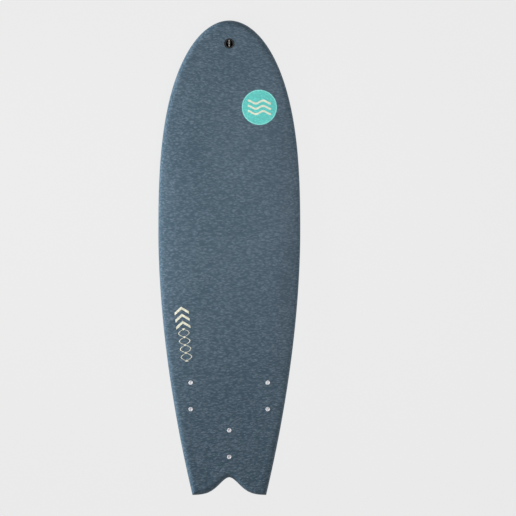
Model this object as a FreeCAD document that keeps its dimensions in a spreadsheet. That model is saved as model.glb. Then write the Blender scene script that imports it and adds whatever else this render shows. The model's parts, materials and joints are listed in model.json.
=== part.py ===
"""Soft-top fish surfboard: foam core, stringers, skins, leash plug, grip recess and three bolt-on fins.

The board's own frame: origin at the lowest point of the bottom's rocker, on the centreline at half
length; +X to starboard, +Y to the nose, +Z up through the deck. All sizes are in millimetres.
"""
import FreeCAD, Part
import math
import os

import Sketcher
from FreeCAD import Placement, Rotation, Vector

BOARD_SIZES = [
    ("board_length", 1727.2, "nose tip to tail corners"),
    ("board_width", 517.0, "at the wide point"),
    ("board_thickness", 63.5, "on the centreline at the wide point"),
    ("wide_point", 86.5, "how far the widest station lies forward of half length"),
    ("nose_fullness_across", 1.96, "exponent of the nose outline across, 2 is an ellipse"),
    ("nose_fullness_along", 2.71, "exponent of the nose outline along, 2 is an ellipse"),
    ("tail_width", 268.5, "between the two tail corners"),
    ("tail_fullness", 1.81, "exponent of the outline aft of the wide point"),
    ("notch_depth", 64.3, "how far the tail notch runs forward of the corners"),
    ("notch_spread", 52.8, "half width of the notch where it has fallen by 63 %"),
    ("notch_shape", 1.8, "exponent of the notch, 2 is a bell curve"),
    ("nose_rocker", 105.0, "rise of the bottom at the nose tip"),
    ("nose_curve", 2.4, "exponent of the nose rocker"),
    ("tail_rocker", 42.0, "rise of the bottom at the tail corners"),
    ("tail_curve", 2.2, "exponent of the tail rocker"),
    ("nose_thickness", 31.0, "thickness at the nose tip"),
    ("tail_thickness", 31.0, "thickness at the tail corners"),
    ("thinning_curve", 2.2, "exponent of the thinning towards both ends"),
    ("deck_fall", 16.0, "drop of the crowned deck from the centreline to the widest rail"),
    ("deck_fall_curve", 6.0, "exponent of the deck's crown"),
    ("rail_top_radius", 18.0, "roll-over of the deck into the rail"),
    ("rail_bottom_radius", 4.5, "tuck of the rail into the bottom"),
]
LAYER_SIZES = [
    ("skin_thickness", 5.0, "closed-cell foam sheet on the deck"),
    ("rail_wrap", 7.0, "width of the foam sheet's edge that shows round the slick"),
    ("core_edge_radius", 13.0, "rounded upper edge of the core"),
    ("slick_thickness", 1.2, "hard plastic bottom sheet"),
    ("laminate_thickness", 0.6, "glass-fibre scrim bonded on both sides of the core"),
    ("laminate_margin", 26.0, "distance from the core's side to the deck laminate's edge"),
    ("stringer_width", 4.0, "thickness of one wooden stringer"),
    ("stringer_offset", 50.0, "centreline to the middle of a stringer"),
]
PLUG_SIZES = [
    ("plug_setback", 84.0, "leash plug centre aft of the nose tip"),
    ("plug_rim_diameter", 37.0, "flange of the leash cup"),
    ("plug_rim_height", 2.2, "thickness of that flange"),
    ("plug_rim_proud", 1.0, "how far the flange stands above the deck foam"),
    ("plug_body_diameter", 30.0, "outside of the cup"),
    ("plug_body_depth", 23.0, "flange top to the cup's underside"),
    ("plug_bowl_diameter", 25.0, "mouth of the hollow"),
    ("plug_bowl_depth", 17.0, "depth of the hollow"),
    ("plug_bowl_floor", 7.0, "radius of the flat floor of the hollow"),
    ("plug_bowl_bevel", 3.2, "slope between that floor and the hollow's wall"),
    ("leash_bar_diameter", 6.4, "steel bar across the cup"),
    ("leash_bar_drop", 6.5, "flange top to the bar's axis"),
    ("leash_bar_length", 28.0, "bar from end to end, both ends in the cup's wall"),
]
GRIP_SIZES = [
    ("grip_offset", 95.0, "centreline to the grip recess, to port"),
    ("grip_length", 116.0, "recess from end to end"),
    ("grip_width", 39.5, "recess across its lobes"),
    ("grip_waist", 29.3, "recess across its waists"),
    ("grip_pitch", 32.8, "from one finger lobe to the next"),
    ("grip_depth", 20.0, "depth of the moulded liner"),
    ("grip_wall", 2.0, "wall and floor of the liner"),
    ("grip_end_curve", 0.8, "power of the outline's turn along, 1 is an ellipse"),
    ("grip_side_curve", 0.4, "power of the outline's turn across, 1 is an ellipse"),
]
FIN_SIZES = [
    ("side_fin_offset", 140.5, "centreline to a side fin"),
    ("side_fin_setback", 358.0, "tail corners to the middle of a side fin's bolts, at the slick"),
    ("centre_fin_setback", 183.5, "tail corners to the middle of the centre fin's bolts, at the slick"),
    ("bolt_spacing", 96.7, "between the two bolts of one fin"),
    ("fin_base", 130.0, "length of the blade at its base"),
    ("fin_depth", 112.0, "base to tip"),
    ("fin_rake", 52.0, "how far the tip lies aft of the base's rear end"),
    ("fin_thickness", 9.5, "greatest thickness at the base"),
    ("fin_tip_thickness", 2.6, "thickness near the tip"),
    ("fin_edge", 1.4, "blunt trailing edge"),
    ("sweep_start", 1.2, "power of the depth at which the leading edge starts to sweep"),
    ("sweep_round", 0.54, "power that rounds the leading edge into the tip, 0.5 is an ellipse"),
    ("trailing_bow", 20.0, "four times the forward bow of the trailing edge"),
    ("taper_curve", 1.2, "power of the blade's thinning towards the tip"),
    ("tip_slenderness", 0.45, "greatest thickness for each unit of chord"),
    ("foil_front", 1.9, "fullness of the foil near its leading edge"),
    ("foil_scale", 1.06, "brings the foil's widest station to the stated thickness"),
    ("foil_closing", 4.0, "power at which the foil closes to its trailing edge"),
    ("blade_end", 0.985, "share of the depth at which the blade's tip is cut"),
    ("blade_overlap", 0.5, "how far the blade starts inside its foot"),
    ("side_fin_cant", 5.0, "outward lean of the side fins, in degrees"),
    ("foot_width", 25.0, "oval foot that lies on the slick"),
    ("foot_length", 136.0, "foot from end to end"),
    ("foot_height", 2.2, "thickness of the foot"),
    ("post_diameter", 15.0, "moulded post that enters the hull"),
    ("post_length", 17.0, "slick to the post's top"),
    ("insert_diameter", 11.0, "brass threaded insert, outside"),
    ("insert_length", 12.0, "brass threaded insert"),
]
BOLT_SIZES = [
    ("shank_diameter", 8.0, "nylon screw's threaded shank"),
    ("thread_engagement", 10.0, "shank in the insert"),
    ("head_diameter", 15.6, "screw head"),
    ("head_height", 4.0, "screw head"),
    ("head_proud", 0.8, "how far the head stands above the deck foam"),
    ("head_dish_diameter", 11.6, "shallow dish in the head"),
    ("head_dish_depth", 1.0, "depth of that dish"),
    ("key_size", 8.0, "hexagon socket across flats"),
    ("key_depth", 1.8, "socket below the dish"),
    ("washer_diameter", 15.2, "rubber sealing washer"),
    ("washer_height", 1.0, "thickness of the washer"),
    ("deck_ferrule_flange", 16.0, "flange that the washer seals on"),
    ("deck_ferrule_flange_height", 2.0, "thickness of that flange"),
    ("deck_ferrule_diameter", 12.6, "tube of the deck ferrule"),
    ("bottom_ferrule_flange", 22.0, "flange flush with the slick"),
    ("bottom_ferrule_diameter", 19.0, "tube of the bottom ferrule"),
    ("bottom_ferrule_height", 23.0, "slick to the bottom ferrule's top"),
]
FIT_SIZES = [
    ("post_clearance", 0.2, "radial, post in the bottom ferrule"),
    ("shank_clearance", 0.3, "radial, screw shank in the ferrules"),
    ("head_clearance", 0.3, "radial, screw head in the deck foam"),
    ("pocket_clearance", 0.1, "radial, hardware in the foam pockets"),
    ("bar_clearance", 0.05, "radial, leash bar in the cup's wall"),
]

SURFACE_STATIONS = 17
SURFACE_ROWS = 15
SURFACE_MARGIN = 12.0
RAIL_STATIONS = 11
NOTCH_STATIONS = 24
GRIP_POINTS = 48
BLADE_SECTIONS = 9
FLANK_POINTS = 12
DISTANCE_ROUNDS = 8
TALL = 400.0
EDGE_TOLERANCE = 1.0
FACE_TOLERANCE = 0.3
SEWING_TOLERANCE = 0.01

document = FreeCAD.newDocument("Surfboard")
sizes = document.addObject("Spreadsheet::Sheet", "Sizes")
heights = document.addObject("Spreadsheet::Sheet", "Heights")
size = {}
height_rows = []


def fill_sizes(groups):
    """Write every named size to the sheet, one row each, and keep its value for the formulas below."""
    row = 1
    for group in groups:
        for alias, value, meaning in group:
            sizes.set("A%d" % row, alias)
            sizes.set("B%d" % row, str(value))
            sizes.set("C%d" % row, meaning)
            sizes.setAlias("B%d" % row, alias)
            size[alias] = value
            row += 1
    document.recompute()


def keep_height(alias, value):
    """Write a height that follows from the hull's curves to the second sheet."""
    height_rows.append(alias)
    row = len(height_rows)
    heights.set("A%d" % row, alias)
    heights.set("B%d" % row, "%.4f" % value)
    heights.setAlias("B%d" % row, alias)


# ---------------------------------------------------------------- the hull's curves

def half_length():
    """Half of the board's length."""
    return size["board_length"] / 2


def bottom_height(y):
    """Rocker: the bottom rises by a power of the distance from half length."""
    share = abs(y) / half_length()
    if y > 0:
        return size["nose_rocker"] * share ** size["nose_curve"]
    return size["tail_rocker"] * share ** size["tail_curve"]


def thickness(y):
    """Thickness on the centreline, greatest at the wide point."""
    if y > size["wide_point"]:
        end_thickness = size["nose_thickness"]
        share = (y - size["wide_point"]) / (half_length() - size["wide_point"])
    else:
        end_thickness = size["tail_thickness"]
        share = (size["wide_point"] - y) / (half_length() + size["wide_point"])
    loss = size["board_thickness"] - end_thickness
    return size["board_thickness"] - loss * share ** size["thinning_curve"]


def deck_height(x, y):
    """Crowned deck above the rocker."""
    fall = size["deck_fall"] * abs(2 * x / size["board_width"]) ** size["deck_fall_curve"]
    return bottom_height(y) + thickness(y) - fall


def nose_point(turn):
    """Outline forward of the wide point, turn going from 0 at the widest station to 90 degrees at the tip."""
    reach = half_length() - size["wide_point"]
    x = size["board_width"] / 2 * math.cos(turn) ** (2 / size["nose_fullness_across"])
    y = size["wide_point"] + reach * math.sin(turn) ** (2 / size["nose_fullness_along"])
    return Vector(x, y, 0)


def tail_point(y):
    """Outline aft of the wide point: the half width falls by a power of the distance aft."""
    share = (size["wide_point"] - y) / (size["wide_point"] + half_length())
    loss = (size["board_width"] - size["tail_width"]) / 2
    return Vector(size["board_width"] / 2 - loss * share ** size["tail_fullness"], y, 0)


def moved_inwards(points, inset):
    """Points of a curve that runs anticlockwise, each moved to its left by the inset."""
    moved = []
    for index, point in enumerate(points):
        before = points[max(index - 1, 0)]
        after = points[min(index + 1, len(points) - 1)]
        along = (after - before).normalize()
        moved.append(point + Vector(-along.y, along.x, 0) * inset)
    return moved


def rail_face(inset):
    """The plan without its notch: both rails and the nose, closed well aft of the tail corners."""
    aft = half_length() + SURFACE_MARGIN
    steps = range(RAIL_STATIONS)
    tail = [tail_point(-aft + (aft + size["wide_point"]) * step / RAIL_STATIONS) for step in steps]
    nose = [nose_point(math.pi / 2 * step / RAIL_STATIONS) for step in steps]
    starboard = moved_inwards(tail + nose, inset)
    tip = Vector(0, half_length() - inset, 0)
    port = [Vector(-point.x, point.y, 0) for point in reversed(starboard)]
    rail = Part.BSplineCurve()
    rail.interpolate(starboard + [tip] + port)
    closing = Part.makeLine(port[-1], starboard[0])
    return Part.Face(Part.Wire([rail.toShape(), closing]))


def notch_edge(x):
    """The tail's edge: a bell-shaped notch between the two corners."""
    def bell(at):
        return math.exp(-(abs(at) / size["notch_spread"]) ** size["notch_shape"])
    corner = bell(size["tail_width"] / 2)
    rise = (bell(x) - corner) / (1 - corner)
    return -half_length() + size["notch_depth"] * rise


def notch_face(inset):
    """What the tail's edge takes away, reaching past both rails."""
    reach = size["tail_width"] / 2 + 2 * SURFACE_MARGIN
    steps = range(NOTCH_STATIONS + 1)
    across = [reach - 2 * reach * step / NOTCH_STATIONS for step in steps]
    edge_points = moved_inwards([Vector(x, notch_edge(x), 0) for x in reversed(across)], inset)
    edge = Part.BSplineCurve()
    edge.interpolate(edge_points)
    aft = -half_length() - TALL / 2
    first = Vector(edge_points[0].x, aft, 0)
    last = Vector(edge_points[-1].x, aft, 0)
    sides = Part.makePolygon([edge_points[-1], last, first, edge_points[0]])
    return Part.Face(Part.Wire([edge.toShape()] + sides.Edges))


def plan_prism(inset):
    """Upright prism over the board's plan, moved inwards by the inset."""
    plan = rail_face(inset).cut(notch_face(inset))
    plan.translate(Vector(0, 0, -TALL / 4))
    return plan.Faces[0].extrude(Vector(0, 0, TALL))


def height_surface(height):
    """B-spline surface through a grid of heights, a little larger than the board."""
    reach = half_length() + SURFACE_MARGIN
    side = size["board_width"] / 2 + SURFACE_MARGIN
    grid = []
    for station in range(SURFACE_STATIONS):
        y = -reach + 2 * reach * station / (SURFACE_STATIONS - 1)
        across = [side * (2 * row / (SURFACE_ROWS - 1) - 1) for row in range(SURFACE_ROWS)]
        grid.append([Vector(x, y, height(x, y)) for x in across])
    surface = Part.BSplineSurface()
    surface.interpolate(grid)
    return surface.toShape()


def above_deck(depth):
    """Everything above a surface that lies the given depth under the deck."""
    return height_surface(lambda x, y: deck_height(x, y) - depth).extrude(Vector(0, 0, TALL))


def below_deck(depth):
    """Everything below a surface that lies the given depth under the deck."""
    return height_surface(lambda x, y: deck_height(x, y) - depth).extrude(Vector(0, 0, -TALL))


def below_bottom(lift):
    """Everything below a surface that lies the given lift above the bottom."""
    return height_surface(lambda x, y: bottom_height(y) + lift).extrude(Vector(0, 0, -TALL))


def level_edges(solid, height_at):
    """Edges whose ends and middle all lie on a height surface."""
    found = []
    for edge in solid.Edges:
        middle = edge.valueAt((edge.FirstParameter + edge.LastParameter) / 2)
        points = [vertex.Point for vertex in edge.Vertexes] + [middle]
        if all(abs(point.z - height_at(point)) < EDGE_TOLERANCE for point in points):
            found.append(edge)
    return found


def make_hull():
    """The board's outer shape, with rounded rails."""
    solid = plan_prism(0).cut([above_deck(0), below_bottom(0)]).Solids[0]
    on_deck = level_edges(solid, lambda point: deck_height(point.x, point.y))
    solid = solid.makeFillet(size["rail_top_radius"], on_deck)
    on_bottom = level_edges(solid, lambda point: bottom_height(point.y))
    return solid.makeFillet(size["rail_bottom_radius"], on_bottom)


def make_core_blank():
    """All that lies inside the foam skin, down to the bottom surface."""
    depth = size["skin_thickness"]
    solid = plan_prism(size["rail_wrap"]).cut([above_deck(depth), below_bottom(0)]).Solids[0]
    on_top = level_edges(solid, lambda point: deck_height(point.x, point.y) - depth)
    return solid.makeFillet(size["core_edge_radius"], on_top)


# ---------------------------------------------------------------- places on the hull

def surface_frame(x, y, height):
    """Placement on a height surface: local Z along its normal, local Y towards the nose."""
    step = 0.5
    along = Vector(0, 2 * step, height(x, y + step) - height(x, y - step)).normalize()
    across = Vector(1, 0, 0)
    rotation = Rotation(across, along, across.cross(along), "ZXY")
    return Placement(Vector(x, y, height(x, y)), rotation)


def fin_frames():
    """The three fins' places on the bottom, each at the middle of its two bolts."""
    side = -half_length() + size["side_fin_setback"]
    centre = -half_length() + size["centre_fin_setback"]
    places = {
        "port": (-size["side_fin_offset"], side),
        "starboard": (size["side_fin_offset"], side),
        "centre": (0.0, centre),
    }
    frames = {}
    for name, (x, y) in places.items():
        frames[name] = surface_frame(x, y, lambda at_x, at_y: bottom_height(at_y))
    return frames


def height_along(frame):
    """Distance from a place on the bottom up its own Z to the deck."""
    up = frame.Rotation.multVec(Vector(0, 0, 1))
    distance = size["board_thickness"]
    for _ in range(DISTANCE_ROUNDS):
        point = frame.Base + up * distance
        distance += deck_height(point.x, point.y) - point.z
    return distance


def bolt_frames(fin_name):
    """The two bolts of one fin, front first, on the bottom surface."""
    fin = fin_frames()[fin_name]
    half_spacing = size["bolt_spacing"] / 2
    places = {"front": half_spacing, "rear": -half_spacing}
    return {end: fin.multiply(Placement(Vector(0, along, 0), Rotation())) for end, along in places.items()}


def plug_frame():
    """The leash plug's place on the deck, local Z along the deck's normal."""
    return surface_frame(0, half_length() - size["plug_setback"], deck_height)


def grip_frame():
    """The grip recess's place on the bottom, local Z up into the board."""
    return surface_frame(-size["grip_offset"], 0, lambda x, y: bottom_height(y))


def grip_outline(inset):
    """Closed outline with a row of finger lobes, moved inwards by the inset."""
    half = size["grip_length"] / 2 - inset
    middle = (size["grip_width"] + size["grip_waist"]) / 4 - inset
    wave = (size["grip_width"] - size["grip_waist"]) / 4
    points = []
    for step in range(GRIP_POINTS):
        turn = 2 * math.pi * step / GRIP_POINTS
        y = half * math.copysign(abs(math.sin(turn)) ** size["grip_end_curve"], math.sin(turn))
        lobe = middle - wave * math.cos(2 * math.pi * y / size["grip_pitch"])
        x = lobe * math.copysign(abs(math.cos(turn)) ** size["grip_side_curve"], math.cos(turn))
        points.append(Vector(x, y, 0))
    curve = Part.BSplineCurve()
    curve.interpolate(points, True)
    return Part.Face(Part.Wire([curve.toShape()]))


# ---------------------------------------------------------------- building blocks

def show_shape(label, shape, placement=None):
    """A sub-part whose shape comes from the hull's formulas."""
    feature = document.addObject("Part::Feature", label)
    feature.Shape = shape
    feature.Placement = placement or Placement()
    feature.Label = label
    return feature


def turned(profile):
    """Solid of revolution about Z from (radius, height) corners."""
    corners = [Vector(radius, 0, height) for radius, height in profile]
    face = Part.Face(Part.makePolygon(corners + corners[:1]))
    return face.revolve(Vector(0, 0, 0), Vector(0, 0, 1), 360)


def placed(shape, frame):
    """The shape moved into a local frame."""
    moved = shape.copy()
    moved.Placement = frame.multiply(moved.Placement)
    return moved


def attached_sketch(body, name, role, offset=None):
    """Sketch on one of the body's own origin planes."""
    sketch = body.newObject("Sketcher::SketchObject", name)
    plane = next(item for item in body.Origin.OriginFeatures if item.Role == role)
    sketch.AttachmentSupport = [(plane, "")]
    sketch.MapMode = "FlatFace"
    if offset:
        sketch.setExpression("AttachmentOffset.Base.z", offset)
    return sketch


def pin_vertex(sketch, line, expressions):
    """Fix the start of one line of a sketch at the two expressions, measured from the sketch's origin."""
    for kind, expression in zip(("DistanceX", "DistanceY"), expressions):
        value = float(sizes.evalExpression(expression))
        if expression == "0":
            axis = -2 if kind == "DistanceX" else -1
            sketch.addConstraint(Sketcher.Constraint("PointOnObject", line, 1, axis))
            continue
        index = sketch.addConstraint(Sketcher.Constraint(kind, -1, 1, line, 1, value))
        sketch.setExpression("Constraints[%d]" % index, expression)


def draw_outline(sketch, corners):
    """Closed polygon whose corners are pairs of expressions."""
    values = [[float(sizes.evalExpression(item)) for item in corner] for corner in corners]
    points = [Vector(across, up, 0) for across, up in values]
    for start, end in zip(points, points[1:] + points[:1]):
        sketch.addGeometry(Part.LineSegment(start, end))
    for line in range(len(points)):
        following = (line + 1) % len(points)
        sketch.addConstraint(Sketcher.Constraint("Coincident", line, 2, following, 1))
    for line, corner in enumerate(corners):
        pin_vertex(sketch, line, corner)


def turned_body(name, corners, placement):
    """Body turned about its own Z from (radius, height) expressions."""
    body = document.addObject("PartDesign::Body", name)
    sketch = attached_sketch(body, name + "_profile", "XZ_Plane")
    draw_outline(sketch, corners)
    turning = body.newObject("PartDesign::Revolution", name + "_turning")
    turning.Profile = (sketch, [""])
    turning.ReferenceAxis = (sketch, ["V_Axis"])
    turning.Angle = 360
    body.Placement = placement
    return body


def group(label, members):
    """Identical pieces kept as separate solids of one sub-part."""
    compound = document.addObject("Part::Compound", label)
    compound.Links = members
    compound.Label = label
    return compound


# ---------------------------------------------------------------- screws, ferrules, inserts

def stack_heights(deck):
    """Heights along one bolt, from the slick's surface upwards."""
    head_top = deck + size["head_proud"]
    head_bottom = head_top - size["head_height"]
    washer_bottom = head_bottom - size["washer_height"]
    flange_bottom = washer_bottom - size["deck_ferrule_flange_height"]
    return head_top, head_bottom, washer_bottom, flange_bottom


def bolt_pocket(deck):
    """Stepped hole for one bolt's hardware, through the whole board."""
    flange_bottom = stack_heights(deck)[3]
    mouth = size["head_diameter"] / 2 + size["head_clearance"]
    tube = size["deck_ferrule_diameter"] / 2 + size["pocket_clearance"]
    socket = size["bottom_ferrule_diameter"] / 2 + size["pocket_clearance"]
    flange = size["bottom_ferrule_flange"] / 2 + size["pocket_clearance"]
    ledge = size["slick_thickness"] + size["laminate_thickness"]
    return turned([
        (0, -SURFACE_MARGIN),
        (flange, -SURFACE_MARGIN),
        (flange, ledge),
        (socket, ledge),
        (socket, size["bottom_ferrule_height"]),
        (tube, size["bottom_ferrule_height"]),
        (tube, flange_bottom),
        (mouth, flange_bottom),
        (mouth, deck + SURFACE_MARGIN),
        (0, deck + SURFACE_MARGIN),
    ])


def screw_body(name, deck, frame):
    """Nylon screw: threaded shank, round head with a shallow dish and a hexagon socket."""
    head_top = deck + " + Sizes.head_proud"
    head_bottom = head_top + " - Sizes.head_height"
    shank_end = "Sizes.post_length - Sizes.thread_engagement"
    shank = "Sizes.shank_diameter / 2"
    head = "Sizes.head_diameter / 2"
    body = turned_body(name, [
        ("0", shank_end),
        (shank, shank_end),
        (shank, head_bottom),
        (head, head_bottom),
        (head, head_top + " - Sizes.head_dish_depth"),
        (head + " - Sizes.head_dish_depth", head_top),
        ("Sizes.head_dish_diameter / 2", head_top),
        ("Sizes.key_size / 2", head_top + " - Sizes.head_dish_depth"),
        ("0", head_top + " - Sizes.head_dish_depth"),
    ], frame)
    socket = attached_sketch(body, name + "_socket", "XY_Plane", head_top)
    flat = "Sizes.key_size / 2"
    half_side = "Sizes.key_size / sqrt(12)"
    corner = "Sizes.key_size / sqrt(3)"
    draw_outline(socket, [
        (flat, half_side),
        ("0", corner),
        ("-" + flat, half_side),
        ("-" + flat, "-" + half_side),
        ("0", "-" + corner),
        (flat, "-" + half_side),
    ])
    pocket = body.newObject("PartDesign::Pocket", name + "_key")
    pocket.Profile = (socket, [""])
    pocket.setExpression("Length", "Sizes.head_dish_depth + Sizes.key_depth")
    return body


def washer_body(name, deck, frame):
    """Rubber washer between the screw head and the deck ferrule."""
    top = deck + " + Sizes.head_proud - Sizes.head_height"
    bore = "Sizes.shank_diameter / 2 + Sizes.shank_clearance"
    rim = "Sizes.washer_diameter / 2"
    bottom = top + " - Sizes.washer_height"
    return turned_body(name, [(bore, bottom), (rim, bottom), (rim, top), (bore, top)], frame)


def deck_ferrule_body(name, deck, frame):
    """Flanged tube from the deck down to the bottom ferrule."""
    top = deck + " + Sizes.head_proud - Sizes.head_height - Sizes.washer_height"
    under_flange = top + " - Sizes.deck_ferrule_flange_height"
    bore = "Sizes.shank_diameter / 2 + Sizes.shank_clearance"
    tube = "Sizes.deck_ferrule_diameter / 2"
    flange = "Sizes.deck_ferrule_flange / 2"
    foot = "Sizes.bottom_ferrule_height"
    return turned_body(name, [
        (bore, foot), (tube, foot), (tube, under_flange), (flange, under_flange), (flange, top), (bore, top),
    ], frame)


def bottom_ferrule_body(name, frame):
    """Flanged socket for a fin's post, flush with the slick."""
    ledge = "Sizes.slick_thickness + Sizes.laminate_thickness"
    post = "Sizes.post_diameter / 2 + Sizes.post_clearance"
    bore = "Sizes.shank_diameter / 2 + Sizes.shank_clearance"
    tube = "Sizes.bottom_ferrule_diameter / 2"
    flange = "Sizes.bottom_ferrule_flange / 2"
    seat = "Sizes.post_length + Sizes.post_clearance"
    top = "Sizes.bottom_ferrule_height"
    return turned_body(name, [
        (post, "0"), (flange, "0"), (flange, ledge), (tube, ledge), (tube, top), (bore, top), (bore, seat),
        (post, seat),
    ], frame)


def insert_body(name, frame):
    """Brass insert moulded into the top of a fin's post."""
    bore = "Sizes.shank_diameter / 2"
    rim = "Sizes.insert_diameter / 2"
    foot = "Sizes.post_length - Sizes.insert_length"
    top = "Sizes.post_length"
    return turned_body(name, [(bore, foot), (rim, foot), (rim, top), (bore, top)], frame)


def add_bolts(fin_name):
    """Both bolts of one fin, each kind of piece as one group of two solids."""
    pieces = {"screws": [], "washers": [], "deck_ferrules": [], "bottom_ferrules": [], "inserts": []}
    for end, frame in bolt_frames(fin_name).items():
        tag = "%s_%s" % (fin_name, end)
        alias = "deck_%s" % tag
        keep_height(alias, height_along(frame))
        document.recompute()
        deck = "Heights." + alias
        pieces["screws"].append(screw_body("screw_" + tag, deck, frame))
        pieces["washers"].append(washer_body("washer_" + tag, deck, frame))
        pieces["deck_ferrules"].append(deck_ferrule_body("deck_ferrule_" + tag, deck, frame))
        pieces["bottom_ferrules"].append(bottom_ferrule_body("bottom_ferrule_" + tag, frame))
        pieces["inserts"].append(insert_body("insert_" + tag, frame))
    return [group("fin_%s_%s" % (kind, fin_name), members) for kind, members in pieces.items()]


# ---------------------------------------------------------------- fins

def foil_flank(chord, thick, edge):
    """Distance aft and half thickness along one side of the foil, from the leading to the trailing edge."""
    flank = [(0.0, 0.0)]
    for step in range(1, FLANK_POINTS):
        run = 1 - math.cos(math.pi * step / (2 * FLANK_POINTS))
        fullness = size["foil_front"] - (size["foil_front"] - 1) * run
        half = thick / 2 * math.sqrt(run) * fullness * size["foil_scale"]
        closed = half * (1 - run ** size["foil_closing"])
        flank.append((chord * run, max(closed, edge / 2 * run)))
    return flank


def foil_wire(share, outward):
    """Section of the blade at a share of its depth: a symmetric foil with a blunt trailing edge."""
    front = size["fin_base"] / 2
    tip_reach = size["fin_base"] + size["fin_rake"]
    sweep = 1 - (1 - share ** size["sweep_start"]) ** size["sweep_round"]
    leading = front - tip_reach * sweep
    bow = size["trailing_bow"] * share * (1 - share)
    trailing = -front - size["fin_rake"] * share ** 3 + bow
    chord = leading - trailing
    taper = size["fin_thickness"] - size["fin_tip_thickness"]
    tapered = size["fin_tip_thickness"] + taper * (1 - share) ** size["taper_curve"]
    thick = min(tapered, size["tip_slenderness"] * chord)
    edge = min(size["fin_edge"], thick / 2)
    lean = outward * size["fin_depth"] * share * math.tan(math.radians(size["side_fin_cant"]))
    height = -size["fin_depth"] * share
    flank = foil_flank(chord, thick, edge)
    starboard = [Vector(lean + half, leading - run, height) for run, half in reversed(flank)]
    port = [Vector(lean - half, leading - run, height) for run, half in flank[1:]]
    tail_starboard = Vector(lean + edge / 2, trailing, height)
    tail_port = Vector(lean - edge / 2, trailing, height)
    curve = Part.BSplineCurve()
    curve.interpolate([tail_starboard] + starboard + port + [tail_port])
    return Part.Wire([curve.toShape(), Part.makeLine(tail_port, tail_starboard)])


def blade_shape(outward):
    """Swept blade lofted through its sections, which lie closer together near the tip."""
    root = (size["foot_height"] - size["blade_overlap"]) / size["fin_depth"]
    reach = size["blade_end"] - root
    turns = [math.pi / 2 * step / (BLADE_SECTIONS - 1) for step in range(BLADE_SECTIONS)]
    return Part.makeLoft([foil_wire(root + reach * math.sin(turn), outward) for turn in turns], True, False)


def post_shape(centre):
    """Round post at one bolt, bored for its insert."""
    post = Part.makeCylinder(size["post_diameter"] / 2, size["post_length"], centre)
    seat = Vector(0, 0, size["post_length"] - size["insert_length"])
    return post.cut(Part.makeCylinder(size["insert_diameter"] / 2, TALL, centre + seat))


def fin_shape(outward):
    """Blade, oval foot and two bored posts in one moulding, in the fin's own frame."""
    height = size["foot_height"]
    round_end = size["foot_width"] / 2
    straight = size["foot_length"] / 2 - round_end
    corner = Vector(-round_end, -straight, -height)
    foot = Part.makeBox(2 * round_end, 2 * straight, height, corner)
    posts = []
    for side in (-1, 1):
        end = Part.makeCylinder(round_end, height, Vector(0, side * straight, -height))
        foot = foot.fuse(end)
        posts.append(post_shape(Vector(0, side * size["bolt_spacing"] / 2, 0)))
    return foot.fuse(posts + [blade_shape(outward)]).removeSplitter()


# ---------------------------------------------------------------- leash plug and grip recess

def plug_pocket():
    """Stepped pocket for the leash cup, in the plug's own frame with Z = 0 at the top of its flange."""
    rim = size["plug_rim_diameter"] / 2 + size["pocket_clearance"]
    body = size["plug_body_diameter"] / 2 + size["pocket_clearance"]
    return turned([
        (0, -size["plug_body_depth"]),
        (body, -size["plug_body_depth"]),
        (body, -size["plug_rim_height"]),
        (rim, -size["plug_rim_height"]),
        (rim, SURFACE_MARGIN),
        (0, SURFACE_MARGIN),
    ])


def plug_placement():
    """The plug's frame at the top of its flange, which stands a little above the deck foam."""
    return plug_frame().multiply(Placement(Vector(0, 0, size["plug_rim_proud"]), Rotation()))


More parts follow.
